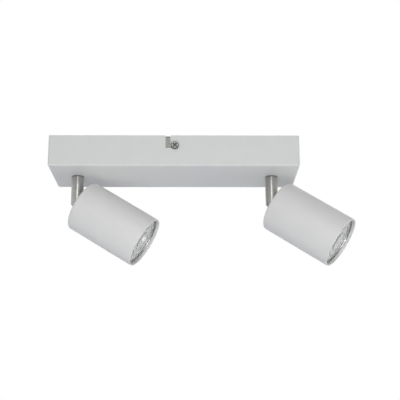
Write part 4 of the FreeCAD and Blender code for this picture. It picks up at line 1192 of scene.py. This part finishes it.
@dataclass
class ReflectorLamp:
    """The lamp in each head: a faceted bowl, a pressed front glass and a quartz burner with its filament.

    Levels run along the head's axis from the pivot, in millimetres.
    """

    neck_level: float = 45.52
    vertex_level: float = 50.52
    glass_back: float = 81.7
    glass_front: float = 83.7
    glass_radius: float = 25.0
    glass_edge: float = 0.7
    glass_edge_steps: int = 5
    bowl_rim: float = 24.6
    bowl_rim_height: float = 2.0
    bowl_rim_step: float = 0.3
    wall: float = 1.8
    neck_radius: float = 8.1
    neck_bore: float = 5.0
    neck_chamfer: float = 0.6
    throat_radius: float = 6.0
    facet_rim: float = 22.5
    land: float = 0.5
    facet_rings: int = 7
    facets_round: int = 26
    jacket_steps: int = 10
    glass_ribs: tuple[float, ...] = (11.0, 17.0, 22.2)
    rib_width: float = 1.1
    rib_height: float = 0.12
    rib_steps: int = 8
    burner_radius: float = 4.2
    burner_low: float = 45.55
    burner_length: float = 19.0
    burner_wall: float = 0.6
    burner_seat: Pair = (4.0, 5.0)
    coil_radius: float = 0.6
    coil_length: float = 7.0
    coil_turns: float = 16.0
    coil_wire: float = 0.11
    coil_low: float = 53.0
    bead_radius: float = 24.35
    bead_thickness: float = 0.42
    segments: int = 104
    burner_segments: int = 48
    burner_dome_steps: int = 12

    def level(self, radius: float) -> float:
        """The level at which the bowl's parabola has a given radius."""
        return self.vertex_level + (self.glass_back - self.vertex_level) * (radius / self.facet_rim) ** 2

    def jacket_outline(self) -> Outline:
        """The bowl's outside: from the facets' rim, over the lamp's edge, to the neck and up its bore.

        Returns:
            Points of radius and level.
        """
        step = self.glass_back - self.bowl_rim_height
        points = [(self.facet_rim + self.land, self.glass_back), (self.bowl_rim, self.glass_back)]
        points.append((self.bowl_rim, step))
        narrowing = self.facet_rim - self.neck_radius + self.wall
        for index in range(self.jacket_steps + 1):
            radius = self.facet_rim - narrowing * index / self.jacket_steps
            points.append((radius + self.wall, min(self.level(radius), step - self.bowl_rim_step)))
        points.append((self.neck_radius, self.neck_level + self.neck_chamfer))
        points.append((self.neck_radius - self.neck_chamfer, self.neck_level))
        return points + [(self.neck_bore, self.neck_level), (self.neck_bore, self.level(self.throat_radius))]

    def bowl(self, spot: Spot, shop: Workshop) -> None:
        """Makes the faceted bowl.

        Args:
            spot: The spot it belongs to.
            shop: The finishes and the trees.
        """
        node = spot.named("lamp_reflector")
        sizes = {
            "Rings": self.facet_rings, "Facets Round": self.facets_round,
            "Throat Radius": self.throat_radius * MM, "Rim Radius": self.facet_rim * MM,
            "Vertex Level": self.vertex_level * MM, "Depth": (self.glass_back - self.vertex_level) * MM,
        }
        shape = bmesh.new()
        shape.from_mesh(shop.shaped(shop.facets, f"{node}_facets", "reflector", sizes))
        for edge in shape.edges:
            edge.smooth = False
        shape.from_mesh(spun(f"{node}_jacket", self.jacket_outline(), self.segments))
        bmesh.ops.remove_doubles(shape, verts=shape.verts, dist=SAME_PLACE)
        self.close_seams(shape)
        bmesh.ops.recalc_face_normals(shape, faces=shape.faces)
        mesh = finished(shape, node)
        piece = shop.on_head(spot, "lamp_bowl", mesh, "reflector", angle=FACET_ANGLE)
        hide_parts(node)

    @staticmethod
    def close_seams(shape: bmesh.types.BMesh) -> None:
        """Joins the two pairs of open rings, at the facets' throat and rim.

        Args:
            shape: The facets and the jacket in one shape.
        """
        open_edges = [edge for edge in shape.edges if edge.is_boundary]
        levels = sorted({round(edge.verts[0].co.z, SEAM_DIGITS) for edge in open_edges})
        for level in (levels[0], levels[-1]):
            ring = [edge for edge in open_edges if abs(edge.verts[0].co.z - level) < SEAM_REACH]
            bmesh.ops.triangle_fill(shape, use_beauty=True, edges=ring)

    def glass_outline(self) -> Outline:
        """The front glass: flat behind, with pressed ribs in front and a rounded edge.

        Returns:
            Points of radius and level.
        """
        edge = self.glass_edge
        points = [(0, self.glass_back), (self.glass_radius, self.glass_back)]
        corner = (self.glass_radius - edge, self.glass_front - edge)
        points += arc(corner, edge, 0, 90, self.glass_edge_steps)
        for rib in sorted(self.glass_ribs, reverse=True):
            for index in range(self.rib_steps + 1):
                share = index / self.rib_steps
                lift = self.rib_height * math.sin(math.pi * share) ** 2
                points.append((rib + self.rib_width * (1 - 2 * share), self.glass_front - lift))
        return points + [(0, self.glass_front)]

    def glass(self, spot: Spot, shop: Workshop) -> None:
        """Makes the front glass.

        Args:
            spot: The spot it belongs to.
            shop: The finishes and the trees.
        """
        node = spot.named("lamp_glass")
        mesh = spun(node, self.glass_outline(), self.segments)
        piece = shop.on_head(spot, "front_glass", mesh, "clear_glass")
        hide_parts(node)

    def burner_surface(self, name: str, start: Outline, radius: float) -> Mesh:
        """The burner's outside or its cavity: a start below, and a domed end above.

        Args:
            name: The mesh's name.
            start: The points below the round wall.
            radius: The wall's radius.

        Returns:
            The mesh.
        """
        top = self.burner_low + self.burner_length
        dome = arc((0, top), radius, 0, 90, self.burner_dome_steps)[:-1]
        outline = start + dome + [(0, top + radius)]
        return spun(name, outline, self.burner_segments)

    def burner(self, spot: Spot, shop: Workshop) -> None:
        """Makes the burner's capsule, hollow inside.

        Args:
            spot: The spot it belongs to.
            shop: The finishes and the trees.
        """
        node = spot.named("lamp_burner")
        low, inner = self.burner_low, self.burner_radius - self.burner_wall
        middle, corner = self.burner_seat
        capsule = self.burner_surface(node, [(0, low), (self.burner_radius, low)], self.burner_radius)
        cavity = self.burner_surface(f"{node}_cavity", [(0, low + middle), (inner, low + corner)], inner)
        cavity.flip_normals()
        shape = bmesh.new()
        shape.from_mesh(capsule)
        shape.from_mesh(cavity)
        piece = shop.on_head(spot, "quartz_burner", finished(shape, node), "burner_glass")
        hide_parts(node)

    def filament(self, spot: Spot, shop: Workshop) -> None:
        """Makes the filament in the burner.

        Args:
            spot: The spot it belongs to.
            shop: The finishes and the trees.
        """
        sizes = {
            "Coil Radius": self.coil_radius * MM, "Coil Length": self.coil_length * MM,
            "Turns": self.coil_turns, "Wire Radius": self.coil_wire * MM,
        }
        mesh = shop.shaped(shop.coil, "filament", "pin_metal", sizes)
        piece = shop.on_head(spot, "filament", mesh, "pin_metal", self.coil_low)

    def seal(self, spot: Spot, shop: Workshop) -> None:
        """Makes the grey bead that seals the glass into the reflector's rim.

        Args:
            spot: The spot it belongs to.
            shop: The finishes and the trees.
        """
        sizes = {"Bead Radius": self.bead_radius * MM, "Thickness": self.bead_thickness * MM}
        mesh = shop.shaped(shop.bead, "glass_seal", "seal", sizes)
        piece = shop.on_head(spot, "glass_seal", mesh, "seal", self.glass_front)

    def build(self, spot: Spot, shop: Workshop) -> None:
        """Makes the lamp of one spot."""
        for step in (self.bowl, self.glass, self.burner, self.filament, self.seal):
            step(spot, shop)


@dataclass
class CanopyScrews:
    """The two pan-head screws with a cross recess that clamp the canopy's long walls to the bracket."""

    place: float = 0.9
    level: float = -11.2
    wall_face: float = 40.0
    shank_radius: float = 2.0
    length: float = 8.0
    tip_chamfer: float = 0.4
    head_radius: float = 4.15
    head_height: float = 2.4
    head_edge: float = 0.15
    corner_radius: float = 1.26
    corner_level: float = 1.32
    corner_angle: float = 62.0
    corner_steps: int = 7
    dome_steps: int = 6
    recess_reach: float = 3.3
    recess_width: float = 1.15
    recess_depth: float = 1.6
    recess_turn: float = 45.0
    recess_taper: float = 0.5
    overrun: float = 1.0
    segments: int = 64

    def outline(self) -> Outline:
        """Head and shank about Z, with the head's domed top up and its seat on z = 0.

        Returns:
            Points of radius and level.
        """
        tip, edge, corner = self.tip_chamfer, self.head_edge, self.corner_radius
        points = [(0, -self.length), (self.shank_radius - tip, -self.length)]
        points += [(self.shank_radius, tip - self.length), (self.shank_radius, 0)]
        points += [(self.head_radius - edge, 0), (self.head_radius, edge)]
        centre = (self.head_radius - corner, self.corner_level)
        points += arc(centre, corner, 0, self.corner_angle, self.corner_steps)
        radius, level = points[-1]
        for index in range(1, self.dome_steps):
            share = 1 - index / self.dome_steps
            points.append((radius * share, level + (self.head_height - level) * (1 - share**2)))
        return points + [(0, self.head_height)]

    def recess_arm(self, turn: float) -> Mesh:
        """One bar of the recess's cross, which is shorter at its foot.

        Args:
            turn: How far it is turned about the screw's axis, in degrees.

        Returns:
            The mesh that is cut away.
        """
        low = self.head_height - self.recess_depth
        reach, half = self.recess_reach, self.recess_width / 2
        arm = box_mesh("recess_arm", (-reach, -half, low), (reach, half, self.head_height + self.overrun))
        for vert in arm.vertices:
            if vert.co.z < low * MM + SAME_PLACE:
                vert.co.x *= self.recess_taper
        arm.transform(Matrix.Rotation(math.radians(turn), 4, "Z"))
        return arm

    def build(self, shop: Workshop) -> None:
        """Makes both screws.

        Args:
            shop: The finishes and the trees.
        """
        arms = [self.recess_arm(self.recess_turn + turn) for turn in (0, 90)]
        screw = cut(spun("canopy_screw", self.outline(), self.segments), arms)
        screw.transform(Matrix.Rotation(math.radians(90), 4, "X"))
        sizes = {"Columns": 1, "Rows": 2, "Width": 0.0, "Depth": 2 * self.wall_face * MM, "Far Turn": math.pi}
        mesh = shop.copies("canopy_screws", screw, "zinc_screw", sizes)
        matrix = Matrix.Translation(Vector((self.place * MM, 0, self.level * MM)))
        piece = new_piece("pan_head_screws", mesh, shop.materials["zinc_screw"], "canopy", matrix)
        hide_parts("canopy_screws")


@dataclass
class BackRivets:
    """The two flush rivets in each head's back, with a shallow dimple left by the setting tool."""

    spacing: float = 21.0
    head_radius: float = 2.7
    head_depth: float = 1.1
    shank_radius: float = 1.5
    level: float = 7.2
    length: float = 4.6
    tail_chamfer: float = 0.3
    dimple_radius: float = 1.1
    dimple_depth: float = 0.3
    dimple_steps: int = 4
    segments: int = 40

    def outline(self) -> Outline:
        """One rivet about Z, its flush head down.

        Returns:
            Points of radius and level.
        """
        chamfer = self.tail_chamfer
        points = [(0, self.dimple_depth)]
        for index in range(1, self.dimple_steps):
            share = index / self.dimple_steps
            points.append((self.dimple_radius * share, self.dimple_depth * (1 - share**2)))
        points += [(self.dimple_radius, 0), (self.head_radius, 0), (self.shank_radius, self.head_depth)]
        points.append((self.shank_radius, self.length - chamfer))
        return points + [(self.shank_radius - chamfer, self.length), (0, self.length)]

    def build(self, spot: Spot, shop: Workshop) -> None:
        """Makes the rivets of one spot.

        Args:
            spot: The spot it belongs to.
            shop: The finishes and the trees.
        """
        node = spot.named("bracket_rivets")
        sizes = {"Columns": 2, "Rows": 1, "Width": self.spacing * MM, "Depth": 0.0}
        mesh = shop.copies(node, spun("back_rivet", self.outline(), self.segments), "satin_nickel", sizes)
        piece = shop.on_head(spot, "back_rivets", mesh, "satin_nickel", self.level)
        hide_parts(node)


def main() -> None:
    """Builds the whole scene."""
    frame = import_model()
    Studio().build()
    shop = Workshop()
    shop.dress_nodes(frame)
    CanopyScrews().build(shop)
    for spot in SPOTS:
        for assembly in (HeadShell(), ReflectorLamp(), BackRivets()):
            assembly.build(spot, shop)


if __name__ == "__main__":
    main()
